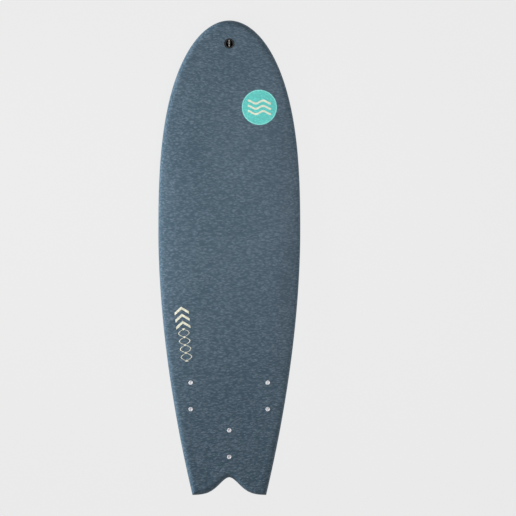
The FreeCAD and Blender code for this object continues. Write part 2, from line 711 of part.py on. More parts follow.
def add_leash_plug():
    """Cup with a rounded hollow, and the steel bar that the leash string ties to."""
    frame = plug_placement()
    floor = "-Sizes.plug_bowl_depth"
    cup = turned_body("leash_cup", [
        ("0", "-Sizes.plug_body_depth"),
        ("Sizes.plug_body_diameter / 2", "-Sizes.plug_body_depth"),
        ("Sizes.plug_body_diameter / 2", "-Sizes.plug_rim_height"),
        ("Sizes.plug_rim_diameter / 2", "-Sizes.plug_rim_height"),
        ("Sizes.plug_rim_diameter / 2", "-Sizes.plug_rim_height / 2"),
        ("Sizes.plug_rim_diameter / 2 - Sizes.plug_rim_height / 2", "0"),
        ("Sizes.plug_bowl_diameter / 2", "0"),
        ("Sizes.plug_bowl_diameter / 2", "-Sizes.plug_bowl_depth / 2"),
        ("Sizes.plug_bowl_floor + Sizes.plug_bowl_bevel", floor + " + Sizes.plug_bowl_bevel"),
        ("Sizes.plug_bowl_floor", floor),
        ("0", floor),
    ], frame)
    sketch = attached_sketch(cup, "leash_cup_bar_hole", "XZ_Plane")
    circle = sketch.addGeometry(Part.Circle(Vector(0, -size["leash_bar_drop"], 0), Vector(0, 0, 1), 3))
    sketch.addConstraint(Sketcher.Constraint("PointOnObject", circle, 3, -2))
    drop = sketch.addConstraint(Sketcher.Constraint("DistanceY", -1, 1, circle, 3, -size["leash_bar_drop"]))
    sketch.setExpression("Constraints[%d]" % drop, "-Sizes.leash_bar_drop")
    across = sketch.addConstraint(Sketcher.Constraint("Diameter", circle, size["leash_bar_diameter"]))
    sketch.setExpression("Constraints[%d]" % across, "Sizes.leash_bar_diameter + 2 * Sizes.bar_clearance")
    holes = cup.newObject("PartDesign::Pocket", "leash_cup_bar_holes")
    holes.Profile = (sketch, [""])
    holes.SideType = "Symmetric"
    holes.setExpression("Length", "Sizes.leash_bar_length")

    bar = document.addObject("PartDesign::Body", "leash_bar")
    section = attached_sketch(bar, "leash_bar_section", "XZ_Plane")
    ring = section.addGeometry(Part.Circle(Vector(0, 0, 0), Vector(0, 0, 1), 3))
    section.addConstraint(Sketcher.Constraint("Coincident", ring, 3, -1, 1))
    width = section.addConstraint(Sketcher.Constraint("Diameter", ring, size["leash_bar_diameter"]))
    section.setExpression("Constraints[%d]" % width, "Sizes.leash_bar_diameter")
    rod = bar.newObject("PartDesign::Pad", "leash_bar_rod")
    rod.Profile = (section, [""])
    rod.SideType = "Symmetric"
    rod.setExpression("Length", "Sizes.leash_bar_length")
    bar.Placement = frame.multiply(Placement(Vector(0, 0, -size["leash_bar_drop"]), Rotation()))
    return [cup, bar]


def grip_block(inset, foot, top):
    """Upright block over the grip's outline, from one height to another."""
    face = grip_outline(inset)
    face.translate(Vector(0, 0, foot))
    return face.extrude(Vector(0, 0, top - foot))


def grip_liner_shape():
    """Moulded tray that opens downwards."""
    tray = grip_block(0, 0, size["grip_depth"])
    hollow = grip_block(size["grip_wall"], -SURFACE_MARGIN, size["grip_depth"] - size["grip_wall"])
    return tray.cut(hollow)


# ---------------------------------------------------------------- the board's layers

def lies_on_bottom(face):
    """True for the face of a solid that lies on the board's bottom surface."""
    middle = face.CenterOfMass
    points = [vertex.Point for vertex in face.Vertexes] + [face.valueAt(*face.Surface.parameter(middle))]
    return all(abs(point.z - bottom_height(point.y)) < FACE_TOLERANCE for point in points)


def skin_shape(hull, blank):
    """Foam sheet between the hull and the core: open below, where only its narrow edge shows."""
    hull_bottom = next(face for face in hull.Faces if lies_on_bottom(face))
    blank_bottom = next(face for face in blank.Faces if lies_on_bottom(face))
    rim = hull_bottom.cut(plan_prism(size["rail_wrap"]))
    outside = [face for face in hull.Faces if not face.isSame(hull_bottom)]
    inside = [face for face in blank.Faces if not face.isSame(blank_bottom)]
    shell = Part.makeShell(outside + inside + rim.Faces)
    shell.sewShape(SEWING_TOLERANCE)
    solid = Part.makeSolid(shell)
    if solid.Volume < 0:
        solid.reverse()
    return solid


def sheet_between(prism, lift, thick):
    """Thin sheet that follows the bottom."""
    roof = height_surface(lambda x, y: bottom_height(y) + lift + thick).extrude(Vector(0, 0, TALL))
    return prism.cut([roof, below_bottom(lift)]).Solids[0]


def hardware_pockets():
    """Every pocket that the plug, the grip liner and the bolts need."""
    clearance = size["pocket_clearance"]
    grip_room = grip_block(-clearance, -SURFACE_MARGIN, size["grip_depth"] + clearance)
    pockets = [placed(plug_pocket(), plug_placement()), placed(grip_room, grip_frame())]
    for fin_name in fin_frames():
        for frame in bolt_frames(fin_name).values():
            pockets.append(placed(bolt_pocket(height_along(frame)), frame))
    return pockets


def add_layers():
    """Foam skin, laminates, slick, three blocks of core and two stringers."""
    pockets = hardware_pockets()
    slick = size["slick_thickness"]
    scrim = size["laminate_thickness"]
    hull = make_hull()
    blank = make_core_blank()
    bottom_prism = plan_prism(size["rail_wrap"])
    deck_prism = plan_prism(size["rail_wrap"] + size["laminate_margin"])
    under_skin = size["skin_thickness"]
    deck_sheet = deck_prism.cut([above_deck(under_skin), below_deck(under_skin + scrim)]).Solids[0]
    recess = deck_prism.cut(below_deck(under_skin + scrim)).Solids[0]
    core = blank.cut(below_bottom(slick + scrim)).cut(recess).Solids[0]
    show_shape("deck_skin", skin_shape(hull, blank).cut(pockets))
    show_shape("deck_laminate", deck_sheet.cut(pockets))
    show_shape("bottom_laminate", sheet_between(bottom_prism, slick, scrim).cut(pockets))
    show_shape("bottom_slick", sheet_between(bottom_prism, 0, slick).cut(pockets))
    half = size["stringer_width"] / 2
    offset = size["stringer_offset"]
    reach = size["board_width"]
    strips = {
        "core_port": (-reach, -offset - half),
        "stringer_port": (-offset - half, -offset + half),
        "core_centre": (-offset + half, offset - half),
        "stringer_starboard": (offset - half, offset + half),
        "core_starboard": (offset + half, reach),
    }
    for label, (left, right) in strips.items():
        corner = Vector(left, -size["board_length"], -TALL)
        strip = Part.makeBox(right - left, 2 * size["board_length"], 2 * TALL, corner)
        show_shape(label, core.common(strip).cut(pockets))


def add_fins():
    """Three fins of the same moulding; the side fins lean outwards."""
    leans = {"port": -1, "starboard": 1, "centre": 0}
    for fin_name, frame in fin_frames().items():
        show_shape("fin_" + fin_name, fin_shape(leans[fin_name]), frame)


def export(nodes):
    """Refuse a failed or empty shape, then write one file for each sub-part."""
    for item in document.Objects:
        if "Invalid" in item.State or "Error" in item.State:
            raise RuntimeError("%s did not compute" % item.Label)
    for node in nodes:
        if node.Shape.isNull() or not node.Shape.isValid():
            raise RuntimeError("%s has no valid shape" % node.Label)
    os.makedirs("parts", exist_ok=True)
    for node in nodes:
        node.Shape.exportStep(os.path.join("parts", node.Label + ".step"))
        print("%-26s %2d solids %12.1f mm3" % (node.Label, len(node.Shape.Solids), node.Shape.Volume))


fill_sizes([BOARD_SIZES, LAYER_SIZES, PLUG_SIZES, GRIP_SIZES, FIN_SIZES, BOLT_SIZES, FIT_SIZES])
add_layers()
add_fins()
show_shape("grip_liner", grip_liner_shape(), grip_frame())
bodies = add_leash_plug()
groups = [compound for fin_name in fin_frames() for compound in add_bolts(fin_name)]
document.recompute()
shells = [item for item in document.Objects if item.TypeId == "Part::Feature"]
export(shells + bodies + groups)
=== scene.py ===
"""Soft-top fish surfboard: the finished look of every piece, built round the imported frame.

All lengths are in metres in the board's own frame: origin at the lowest point of the bottom's rocker,
+X to starboard, +Y to the nose, +Z up through the deck.
"""
from __future__ import annotations

import json
import logging
import math
from dataclasses import dataclass
from enum import Enum
from typing import Callable

import bmesh
import bpy
import numpy as np
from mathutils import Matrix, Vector

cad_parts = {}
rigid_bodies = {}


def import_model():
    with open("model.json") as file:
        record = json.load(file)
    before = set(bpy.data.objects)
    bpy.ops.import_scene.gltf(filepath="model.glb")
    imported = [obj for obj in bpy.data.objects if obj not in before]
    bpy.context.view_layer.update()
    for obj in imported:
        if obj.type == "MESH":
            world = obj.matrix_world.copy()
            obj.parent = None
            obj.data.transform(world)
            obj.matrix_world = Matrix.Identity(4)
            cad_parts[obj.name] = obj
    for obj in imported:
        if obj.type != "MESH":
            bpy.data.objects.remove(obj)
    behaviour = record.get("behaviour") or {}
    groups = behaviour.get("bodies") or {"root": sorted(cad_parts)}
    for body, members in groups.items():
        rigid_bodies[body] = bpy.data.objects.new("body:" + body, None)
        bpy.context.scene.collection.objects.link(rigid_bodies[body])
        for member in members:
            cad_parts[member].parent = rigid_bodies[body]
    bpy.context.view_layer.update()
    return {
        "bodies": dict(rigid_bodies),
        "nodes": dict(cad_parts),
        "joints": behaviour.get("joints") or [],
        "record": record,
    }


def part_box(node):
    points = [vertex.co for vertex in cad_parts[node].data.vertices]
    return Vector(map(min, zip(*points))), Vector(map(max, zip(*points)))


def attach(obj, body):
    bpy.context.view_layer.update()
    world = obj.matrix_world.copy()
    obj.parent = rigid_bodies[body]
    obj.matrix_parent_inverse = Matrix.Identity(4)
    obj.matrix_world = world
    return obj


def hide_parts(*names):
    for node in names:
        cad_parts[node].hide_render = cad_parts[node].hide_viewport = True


log = logging.getLogger("surfboard")
BODY = "root"
SAME_POINT = 2e-6
NO_LENGTH = 1e-7
Array = np.ndarray
HeightField = Callable[[Array, Array], Array]


# ------------------------------------------------------------------------------------ curves of the hull


@dataclass(frozen=True)
class LocalFrame:
    """A place on the board: an origin and three unit axes, the third pointing up out of the surface."""

    origin: Array
    axes: Array

    def place(self, points: Array) -> Array:
        """Carry points from this frame into the board's frame."""
        return self.origin + points @ self.axes

    def moved(self, along: float, up: float) -> "LocalFrame":
        """The same frame shifted along its second and third axes."""
        return LocalFrame(self.origin + along * self.axes[1] + up * self.axes[2], self.axes)


@dataclass(frozen=True)
class HullCurves:
    """Outline, rocker, thickness and crown of the board."""

    length: float
    width: float
    wide_point: float = 0.0865
    nose_across: float = 1.96
    nose_along: float = 2.71
    tail_width: float = 0.2685
    tail_fullness: float = 1.81
    notch_depth: float = 0.0643
    notch_spread: float = 0.0528
    notch_shape: float = 1.8
    nose_rocker: float = 0.105
    nose_curve: float = 2.4
    tail_rocker: float = 0.042
    tail_curve: float = 2.2
    thick: float = 0.0635
    nose_thickness: float = 0.031
    tail_thickness: float = 0.031
    thinning_curve: float = 2.2
    deck_fall: float = 0.016
    deck_fall_curve: float = 6.0

    @classmethod
    def from_frame(cls) -> "HullCurves":
        """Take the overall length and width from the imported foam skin."""
        low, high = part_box("deck_skin")
        return cls(length=high.y - low.y, width=high.x - low.x)

    def bottom(self, y: Array) -> Array:
        """Rocker: the bottom rises by a power of the distance from half length.

        Args:
            y: place along the board.

        Returns:
            Height of the bottom.
        """
        share = np.abs(y) / (self.length / 2)
        nose = self.nose_rocker * share**self.nose_curve
        tail = self.tail_rocker * share**self.tail_curve
        return np.where(y > 0, nose, tail)

    def thickness(self, y: Array) -> Array:
        """Thickness on the centreline: it falls by a power of the distance from the wide point.

        Args:
            y: place along the board.

        Returns:
            Thickness there.
        """
        ahead = (y - self.wide_point) / (self.length / 2 - self.wide_point)
        behind = (self.wide_point - y) / (self.length / 2 + self.wide_point)
        share = np.clip(np.where(y > self.wide_point, ahead, behind), 0, None)
        end = np.where(y > self.wide_point, self.nose_thickness, self.tail_thickness)
        return self.thick - (self.thick - end) * share**self.thinning_curve

    def deck(self, x: Array, y: Array) -> Array:
        """Deck height: rocker plus thickness, less a steep fall close to the rails."""
        fall = self.deck_fall * np.abs(2 * x / self.width) ** self.deck_fall_curve
        return self.bottom(y) + self.thickness(y) - fall

    def rails(self, count: int) -> Array:
        """Both rails as one curve from the starboard tail corner round the nose to the port corner.

        Aft of the wide point the half width falls by a power of the distance; forward of it the outline
        is a superellipse. The points are spaced evenly along the curve.

        Args:
            count: how many points the curve gets, an odd number so that one is the nose tip.

        Returns:
            An array of (x, y) points.
        """
        half = self.length / 2
        aft = np.linspace(-half, self.wide_point, 3000)
        share = (self.wide_point - aft) / (self.wide_point + half)
        aft_x = self.width / 2 - (self.width - self.tail_width) / 2 * share**self.tail_fullness
        step = np.linspace(0, 1, 6000)[1:]
        turn = step**2 * (3 - 2 * step) * math.pi / 2
        nose_x = self.width / 2 * np.clip(np.cos(turn), 0, None) ** (2 / self.nose_across)
        nose_y = self.wide_point + (half - self.wide_point) * np.sin(turn) ** (2 / self.nose_along)
        starboard = np.stack([np.append(aft_x, nose_x), np.append(aft, nose_y)], 1)
        starboard[-1, 0] = 0.0
        side = even_spacing(starboard, count // 2 + 1)
        port = side[::-1][1:] * np.array([-1.0, 1.0])
        return np.concatenate([side, port])

    def notch(self, count: int) -> Array:
        """The tail's edge from the port corner to the starboard corner: a bell-shaped notch.

        Args:
            count: how many points the edge gets.

        Returns:
            An array of (x, y) points.
        """
        x = np.linspace(-self.tail_width / 2, self.tail_width / 2, 2001)
        bell = np.exp(-((np.abs(x) / self.notch_spread) ** self.notch_shape))
        rise = (bell - bell[0]) / (1 - bell[0])
        return even_spacing(np.stack([x, -self.length / 2 + self.notch_depth * rise], 1), count)

    def surface_frame(self, x: float, y: float, height: HeightField) -> LocalFrame:
        """Frame on a height surface: first axis across, second towards the nose, third along the normal.

        Args:
            x: place across the board.
            y: place along the board.
            height: the surface's height at (x, y).

        Returns:
            The frame.
        """
        step = 0.0005
        rise = float(height(np.array(x), np.array(y + step)) - height(np.array(x), np.array(y - step)))
        along = np.array([0.0, 2 * step, rise])
        along /= np.linalg.norm(along)
        across = np.array([1.0, 0.0, 0.0])
        origin = np.array([x, y, float(height(np.array(x), np.array(y)))])
        return LocalFrame(origin, np.stack([across, along, np.cross(across, along)]))

    def height_along(self, frame: LocalFrame) -> float:
        """Distance from a place on the bottom up its own third axis to the deck.

        Args:
            frame: a place on the bottom.

        Returns:
            The distance.
        """
        distance = self.thick
        for _ in range(8):
            point = frame.origin + distance * frame.axes[2]
            distance += float(self.deck(point[0], point[1]) - point[2])
        return distance


def even_spacing(points: Array, count: int) -> Array:
    """Points of a dense curve spaced evenly along its length.

    Args:
        points: a dense polyline.
        count: how many points to keep, both ends among them.

    Returns:
        The new points.
    """
    steps = np.linalg.norm(np.diff(points, axis=0), axis=1)
    run = np.concatenate([[0.0], np.cumsum(steps)])
    wanted = np.linspace(0, run[-1], count)
    return np.stack([np.interp(wanted, run, points[:, axis]) for axis in range(points.shape[1])], 1)


def left_normals(points: Array) -> Array:
    """Unit normals to the left of an open curve.

    Args:
        points: the curve's points.

    Returns:
        One normal for each point.
    """
    along = np.gradient(points, axis=0)
    along /= np.linalg.norm(along, axis=1, keepdims=True)
    return np.stack([-along[:, 1], along[:, 0]], 1)


@dataclass
class PlanLoop:
    """The board's outline as a closed loop that every layer's rings are moved inwards from."""

    hull: HullCurves
    rail_count: int = 841
    notch_count: int = 142
    mitre_reach: float = 0.09
    spine_share: float = 0.78
    ring_inset: float = 0.030

    def __post_init__(self) -> None:
        """Work out the loop, its inward normals and the directions in which rings move.

        Near a tail corner the direction turns smoothly from the edge's normal to the corner's bisector,
        so that rings from both edges meet in a mitre.
        """
        rails = self.hull.rails(self.rail_count)
        notch = self.hull.notch(self.notch_count)
        rail_normals = left_normals(rails)
        notch_normals = left_normals(notch)
        self.points = np.concatenate([rails, notch[1:-1]])
        self.normals = np.concatenate([rail_normals, notch_normals[1:-1]])
        direction = self.normals.copy()
        for corner, pair in ((0, (0, -1)), (self.rail_count - 1, (-1, 0))):
            bisector = rail_normals[pair[0]] + notch_normals[pair[1]]
            bisector /= np.linalg.norm(bisector)
            gap = np.linalg.norm(self.points - self.points[corner], axis=1)
            share = np.clip(1 - gap / self.mitre_reach, 0, 1)
            weight = (share * share * (3 - 2 * share))[:, None]
            direction = (1 - weight) * direction + weight * bisector
        direction /= np.linalg.norm(direction, axis=1, keepdims=True)
        self.direction = direction / np.sum(direction * self.normals, axis=1, keepdims=True)
        self.count = len(self.points)
        self.spine = np.zeros((self.count, 2))
        self.spine[: self.rail_count, 1] = self.spine_share * self.points[: self.rail_count, 1]
        self.spine[self.rail_count :, 1] = -self.spine_share * self.hull.length / 2

    def ring(self, inset: Array | float) -> Array:
        """The loop moved inwards by an inset, which may differ from point to point."""
        return self.points + self.direction * np.reshape(inset, (-1, 1))

    def inner(self, share: float, start: float | None = None) -> Array:
        """A ring between the starting inset and the board's spine."""
        outer = self.ring(self.ring_inset if start is None else start)
        return outer * (1 - share) + self.spine * share

    def solid(self, plan: Array, height: Array) -> Array:
        """Plan points with their heights."""
        return np.column_stack([plan, np.broadcast_to(height, len(plan))])


# ------------------------------------------------------------------------------------ meshes


@dataclass
class Patch:
    """Part of a mesh: points and quads."""

    points: Array
    quads: Array

    @classmethod
    def rings(cls, rows: list[Array]) -> "Patch":
        """Closed rings joined row by row: quads between point k of one ring and of the next.

        Args:
            rows: rings of equally many points.

        Returns:
            The surface, closed round each ring.
        """
        count = len(rows[0])
        row = np.arange(len(rows) - 1)[:, None]
        column = np.arange(count)[None, :]
        near = row * count + column
        far = row * count + (column + 1) % count
        quads = np.stack([near, far, far + count, near + count], -1).reshape(-1, 4)
        return cls(np.concatenate(rows), quads)

    @classmethod
    def turned(
        cls, profile: Array, frame: LocalFrame, count: int, sides: Array | None = None
    ) -> "Patch":
        """Profile turned round a frame's third axis: (radius cos t, radius sin t, height).

        Args:
            profile: rows of radius and height, both ends on the axis.
            frame: where the axis is.
            count: steps round the axis.
            sides: for each profile row, how far the ring is a hexagon, from 0 for round to 1.

        Returns:
            The closed surface.
        """
        turn = np.arange(count) * 2 * math.pi / count
        flat = math.cos(math.pi / 6) / np.cos((turn % (math.pi / 3)) - math.pi / 6)
        hexagon = np.zeros(len(profile)) if sides is None else sides
        rows = []
        for (radius, height), share in zip(profile, hexagon):
            reach = radius * (1 - share + share * flat)
            local = np.stack([reach * np.cos(turn), reach * np.sin(turn), np.full(count, height)], 1)
            rows.append(frame.place(local))
        return cls.rings(rows)


class Shading(Enum):
    """How a piece's faces are smoothed: the angle, in degrees, past which an edge stays crisp."""

    SOFT = 75
    CRISP = 38


def make_mesh(name: str, patches: list[Patch]) -> bpy.types.Object:
    """One closed mesh object from its patches: doubles merged, faces pointing outwards.

    Args:
        name: the piece's name.
        patches: its closed surfaces.

    Returns:
        The mesh object.
    """
    offsets = np.cumsum([0] + [len(patch.points) for patch in patches])
    points = np.concatenate([patch.points for patch in patches])
    quads = np.concatenate([patch.quads + start for patch, start in zip(patches, offsets)])
    mesh = bpy.data.meshes.new(name)
    mesh.from_pydata(points.tolist(), [], quads.tolist())
    work = bmesh.new()
    work.from_mesh(mesh)
    bmesh.ops.remove_doubles(work, verts=work.verts, dist=SAME_POINT)
    bmesh.ops.dissolve_degenerate(work, edges=work.edges, dist=NO_LENGTH)
    bmesh.ops.recalc_face_normals(work, faces=work.faces)
    work.to_mesh(mesh)
    work.free()
    piece = bpy.data.objects.new(name, mesh)
    bpy.context.scene.collection.objects.link(piece)
    return piece


def cut_with(piece: bpy.types.Object, cutter: bpy.types.Object) -> None:
    """Take the cutter's volume out of the piece and remove the cutter.

    Args:
        piece: the piece to cut.
        cutter: the volume to take out.
    """
    tool = piece.modifiers.new("pockets", "BOOLEAN")
    tool.operation = "DIFFERENCE"
    tool.solver = "EXACT"
    tool.object = cutter
    view = bpy.context.evaluated_depsgraph_get()
    result = bpy.data.meshes.new_from_object(piece.evaluated_get(view))
    piece.modifiers.clear()
    piece.data = result
    bpy.data.objects.remove(cutter)


def finish_piece(
    piece: bpy.types.Object, material: bpy.types.Material, slot: str, shading: Shading, *nodes: str
) -> None:
    """Smooth a piece, dress it, hang it on the board's body and let it stand for its CAD nodes.

    Args:
        piece: the piece.
        material: its finish.
        slot: the record's material slot; not used.
        shading: where its edges stay crisp.
        nodes: the CAD nodes that it stands for.
    """
    piece.data.shade_smooth()
    piece.data.set_sharp_from_angle(angle=math.radians(shading.value))
    piece.data.materials.clear()
    piece.data.materials.append(material)
    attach(piece, BODY)
    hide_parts(*nodes)
    log.info("%s: %d faces", piece.name, len(piece.data.polygons))


# ------------------------------------------------------------------------------------ node graphs


@dataclass
class Field:
    """A number that changes over a surface: one socket of a node graph, with arithmetic."""

    graph: "Graph"
    socket: bpy.types.NodeSocket

    def __add__(self, other: "Field | float") -> "Field":
        """Sum."""
        return self.graph.math("ADD", self, other)

    def __sub__(self, other: "Field | float") -> "Field":
        """Difference."""
        return self.graph.math("SUBTRACT", self, other)

    def __mul__(self, other: "Field | float") -> "Field":
        """Product."""
        return self.graph.math("MULTIPLY", self, other)

    def abs(self) -> "Field":
        """Size without sign."""
        return self.graph.math("ABSOLUTE", self)

    def sin(self) -> "Field":
        """Sine."""
        return self.graph.math("SINE", self)

    def min(self, other: "Field | float") -> "Field":
        """The smaller of two."""
        return self.graph.math("MINIMUM", self, other)

    def max(self, other: "Field | float") -> "Field":
        """The larger of two."""
        return self.graph.math("MAXIMUM", self, other)

    def inside(self, blur: float) -> "Field":
        """1 where this distance is below zero, 0 where it is above, with a blurred edge.

        Args:
            blur: half the width of the blurred edge.

        Returns:
            The mask.
        """
        node = self.graph.node("ShaderNodeMapRange", clamp=True, interpolation_type="SMOOTHSTEP")
        self.graph.join(self, node.inputs["Value"])
        for name, value in (("From Min", blur), ("From Max", -blur), ("To Min", 0.0), ("To Max", 1.0)):
            node.inputs[name].default_value = value
        return Field(self.graph, node.outputs["Result"])

    def ramp(self, low: float, high: float, to_low: float = 0.0, to_high: float = 1.0) -> "Field":
        """Linear step from one range of values to another, held at both ends.

        Args:
            low: value where the step starts.
            high: value where it ends.
            to_low: result at the start.
            to_high: result at the end.

        Returns:
            The stepped field.
        """
        node = self.graph.node("ShaderNodeMapRange", clamp=True)
        self.graph.join(self, node.inputs["Value"])
        for name, value in (("From Min", low), ("From Max", high), ("To Min", to_low), ("To Max", to_high)):
            node.inputs[name].default_value = value
        return Field(self.graph, node.outputs["Result"])


class Graph:
    """Adds nodes to a material's or a group's tree and joins them."""

    def __init__(self, tree: bpy.types.NodeTree) -> None:
        """Keep the tree that the nodes go in."""
        self.tree = tree

    def node(self, kind: str, **settings: object) -> bpy.types.Node:
        """A new node with its settings.

        Args:
            kind: Blender's name for the node.
            settings: its properties.

        Returns:
            The node.
        """
        made = self.tree.nodes.new(kind)
        for name, value in settings.items():
            setattr(made, name, value)
        return made

    def join(self, source: object, target: bpy.types.NodeSocket) -> None:
        """Feed a socket from a field or a socket, or set it to a constant.

        Args:
            source: a field, a socket or a constant.
            target: the socket that takes it.
        """
        if isinstance(source, Field):
            self.tree.links.new(source.socket, target)
        elif isinstance(source, bpy.types.NodeSocket):
            self.tree.links.new(source, target)
        else:
            target.default_value = source

    def math(self, operation: str, *values: object) -> Field:
        """Result of a math node.

        Args:
            operation: Blender's name for the operation.
            values: fields or numbers.

        Returns:
            The result.
        """
        node = self.node("ShaderNodeMath", operation=operation)
        for value, target in zip(values, node.inputs):
            self.join(value, target)
        return Field(self, node.outputs[0])

    def position(self) -> bpy.types.NodeSocket:
        """Object coordinates, in metres in the board's frame."""
        return self.node("ShaderNodeTexCoord").outputs["Object"]

    def split(self, vector: bpy.types.NodeSocket) -> tuple[Field, Field, Field]:
        """The three parts of a vector.

        Args:
            vector: the vector's socket.

        Returns:
            Its x, y and z.
        """
        node = self.node("ShaderNodeSeparateXYZ")
        self.tree.links.new(vector, node.inputs[0])
        return tuple(Field(self, out) for out in node.outputs)

    def placed(self, vector: object, at: tuple, turn: float = 0.0, scale: tuple = (1, 1, 1)) -> object:
        """Coordinates with their origin at a place, turned about Z by degrees and scaled.

        Args:
            vector: the coordinates.
            at: the new origin.
            turn: degrees about Z.
            scale: stretch along each axis.

        Returns:
            The new coordinates' socket.
        """
        node = self.node("ShaderNodeMapping", vector_type="TEXTURE")
        self.tree.links.new(vector, node.inputs["Vector"])
        node.inputs["Location"].default_value = at
        node.inputs["Rotation"].default_value = (0, 0, math.radians(turn))
        node.inputs["Scale"].default_value = scale
        return node.outputs["Vector"]

    def noise(self, vector: object, scale: float, detail: float = 3.0, rough: float = 0.5) -> Field:
        """Fractal noise between 0 and 1.

        Args:
            vector: the coordinates.
            scale: how fine it is.
            detail: octaves.
            rough: weight of the finer octaves.

        Returns:
            The noise.
        """
        node = self.node("ShaderNodeTexNoise")
        self.tree.links.new(vector, node.inputs["Vector"])
        node.inputs["Scale"].default_value = scale
        node.inputs["Detail"].default_value = detail
        node.inputs["Roughness"].default_value = rough
        return Field(self, node.outputs["Fac"])

    def cells(self, vector: object, scale: float, feature: str = "F1", jitter: float = 1.0) -> Field:
        """Distance in a cell pattern.

        Args:
            vector: the coordinates.
            scale: cells to a metre.
            feature: which distance.
            jitter: how irregular the cells are.

        Returns:
            The distance.
        """
        node = self.node("ShaderNodeTexVoronoi", feature=feature)
        self.tree.links.new(vector, node.inputs["Vector"])
        node.inputs["Scale"].default_value = scale
        node.inputs["Randomness"].default_value = jitter
        return Field(self, node.outputs["Distance"])

    def mix(self, share: Field, below: object, above: object, mode: str = "MIX") -> bpy.types.NodeSocket:
        """Colour mixed by a share; each side is a colour or a socket.

        Args:
            share: how much of the upper colour shows.
            below: the lower colour.
            above: the upper colour.
            mode: how they blend.

        Returns:
            The colour's socket.
        """
        node = self.node("ShaderNodeMix", data_type="RGBA", blend_type=mode)
        self.join(share, node.inputs[0])
        self.join(below, node.inputs[6])
        self.join(above, node.inputs[7])
        return node.outputs[2]

    def bump(self, height: Field, depth: float, strength: float = 1.0) -> bpy.types.NodeSocket:
        """Normal bent by a height between 0 and 1 that stands for a depth in metres.

        Args:
            height: the relief.
            depth: its depth in metres.
            strength: how much of it shows.

        Returns:
            The normal's socket.
        """
        node = self.node("ShaderNodeBump")
        self.join(height, node.inputs["Height"])
        node.inputs["Distance"].default_value = depth
        node.inputs["Strength"].default_value = strength
        return node.outputs["Normal"]

    def feed(self, shader: bpy.types.Node, colour: object, rough: Field, normal: object) -> None:
        """Give a shader its colour, roughness and normal.

        Args:
            shader: the Principled shader.
            colour: its base colour.
            rough: its roughness.
            normal: its bent normal.
        """
        for name, source in (("Base Color", colour), ("Roughness", rough), ("Normal", normal)):
            self.join(source, shader.inputs[name])

    def group(self, made: bpy.types.NodeTree, **inputs: object) -> bpy.types.Node:
        """A node group placed in this tree with its inputs set by name.

        Args:
            made: the group.
            inputs: values by socket name, in small letters with underscores.

        Returns:
            The group's node.
        """
        node = self.node("ShaderNodeGroup", node_tree=made)
        for name, value in inputs.items():
            self.join(value, node.inputs[name.replace("_", " ").capitalize()])
        return node


def new_group(name: str, inputs: dict[str, tuple], outputs: tuple[str, ...]) -> tuple[Graph, object, object]:
    """An empty node group with named sockets.

    Args:
        name: the group's name.
        inputs: socket name to its kind and default value.
        outputs: names of the number outputs.

    Returns:
        The group's graph, its input node and its output node.
    """
    tree = bpy.data.node_groups.new(name, "ShaderNodeTree")
    for label, (kind, default) in inputs.items():
        socket = tree.interface.new_socket(label, in_out="INPUT", socket_type=kind)
        if default is not None:
            socket.default_value = default
    for label in outputs:
        tree.interface.new_socket(label, in_out="OUTPUT", socket_type="NodeSocketFloat")
    graph = Graph(tree)
    return graph, graph.node("NodeGroupInput"), graph.node("NodeGroupOutput")


BLOTCH_SCALE = 28.0
RIM_INSET = 0.0022
RIM_LINE = 0.0013
MARK_BLUR = 0.0006
WAVE_TURNS = 7.4
WAVE_HEIGHT = 0.085
WAVE_LEVELS = (-0.30, 0.0, 0.30)
WAVE_LINE = 0.058
WAVE_REACH = 0.66
WAVE_BLUR = 0.012


def grain_group() -> bpy.types.NodeTree:
    """Fine moulded grain with broader unevenness: a height and a blotch, both between 0 and 1.

    Returns:
        The node group.
    """
    inputs = {"Position": ("NodeSocketVector", None), "Grain": ("NodeSocketFloat", 900.0)}
    graph, entry, leave = new_group("moulded_grain", inputs, ("Height", "Blotch"))
    fine = graph.node("ShaderNodeTexNoise")
    graph.join(entry.outputs["Position"], fine.inputs["Vector"])
    graph.join(entry.outputs["Grain"], fine.inputs["Scale"])
    fine.inputs["Detail"].default_value = 2.0
    graph.join(fine.outputs["Fac"], leave.inputs["Height"])
    graph.join(graph.noise(entry.outputs["Position"], BLOTCH_SCALE, 4.0, 0.6), leave.inputs["Blotch"])
    return graph.tree


def roundel_group() -> bpy.types.NodeTree:
    """Round printed mark with three wavy lines, drawn about the origin of the given coordinates.

    Returns:
        The node group.
    """
    inputs = {"Position": ("NodeSocketVector", None), "Radius": ("NodeSocketFloat", 0.064)}
    graph, entry, leave = new_group("wave_roundel", inputs, ("Disc", "Rim", "Waves"))
    across, along, _ = graph.split(entry.outputs["Position"])
    radius = Field(graph, entry.outputs["Radius"])
    reach = graph.math("SQRT", across * across + along * along)
    gap = reach - radius
    graph.join(gap.inside(MARK_BLUR), leave.inputs["Disc"])
    ring = (gap + RIM_INSET).abs() - RIM_LINE
    graph.join(ring.inside(MARK_BLUR), leave.inputs["Rim"])
    unit = graph.math("DIVIDE", across, radius)
    height = graph.math("DIVIDE", along, radius)
    crest = (unit * WAVE_TURNS).sin() * WAVE_HEIGHT
    stroke = None
    for level in WAVE_LEVELS:
        line = (height - crest - level).abs() - WAVE_LINE
        stroke = line if stroke is None else stroke.min(line)
    waves = stroke.max(unit.abs() - WAVE_REACH)
    graph.join(waves.inside(WAVE_BLUR), leave.inputs["Waves"])
    return graph.tree


# ------------------------------------------------------------------------------------ finishes


FULL_TURN = 2 * math.pi
PRINT_BLUR = 0.0004


def start_material(name: str) -> tuple[bpy.types.Material, Graph, bpy.types.Node]:
    """A node material with its shader.

    Args:
        name: the material's name.

    Returns:
        The material, its graph and its Principled shader.
    """
    material = bpy.data.materials.new(name)
    material.use_nodes = True
    graph = Graph(material.node_tree)
    return material, graph, material.node_tree.nodes["Principled BSDF"]


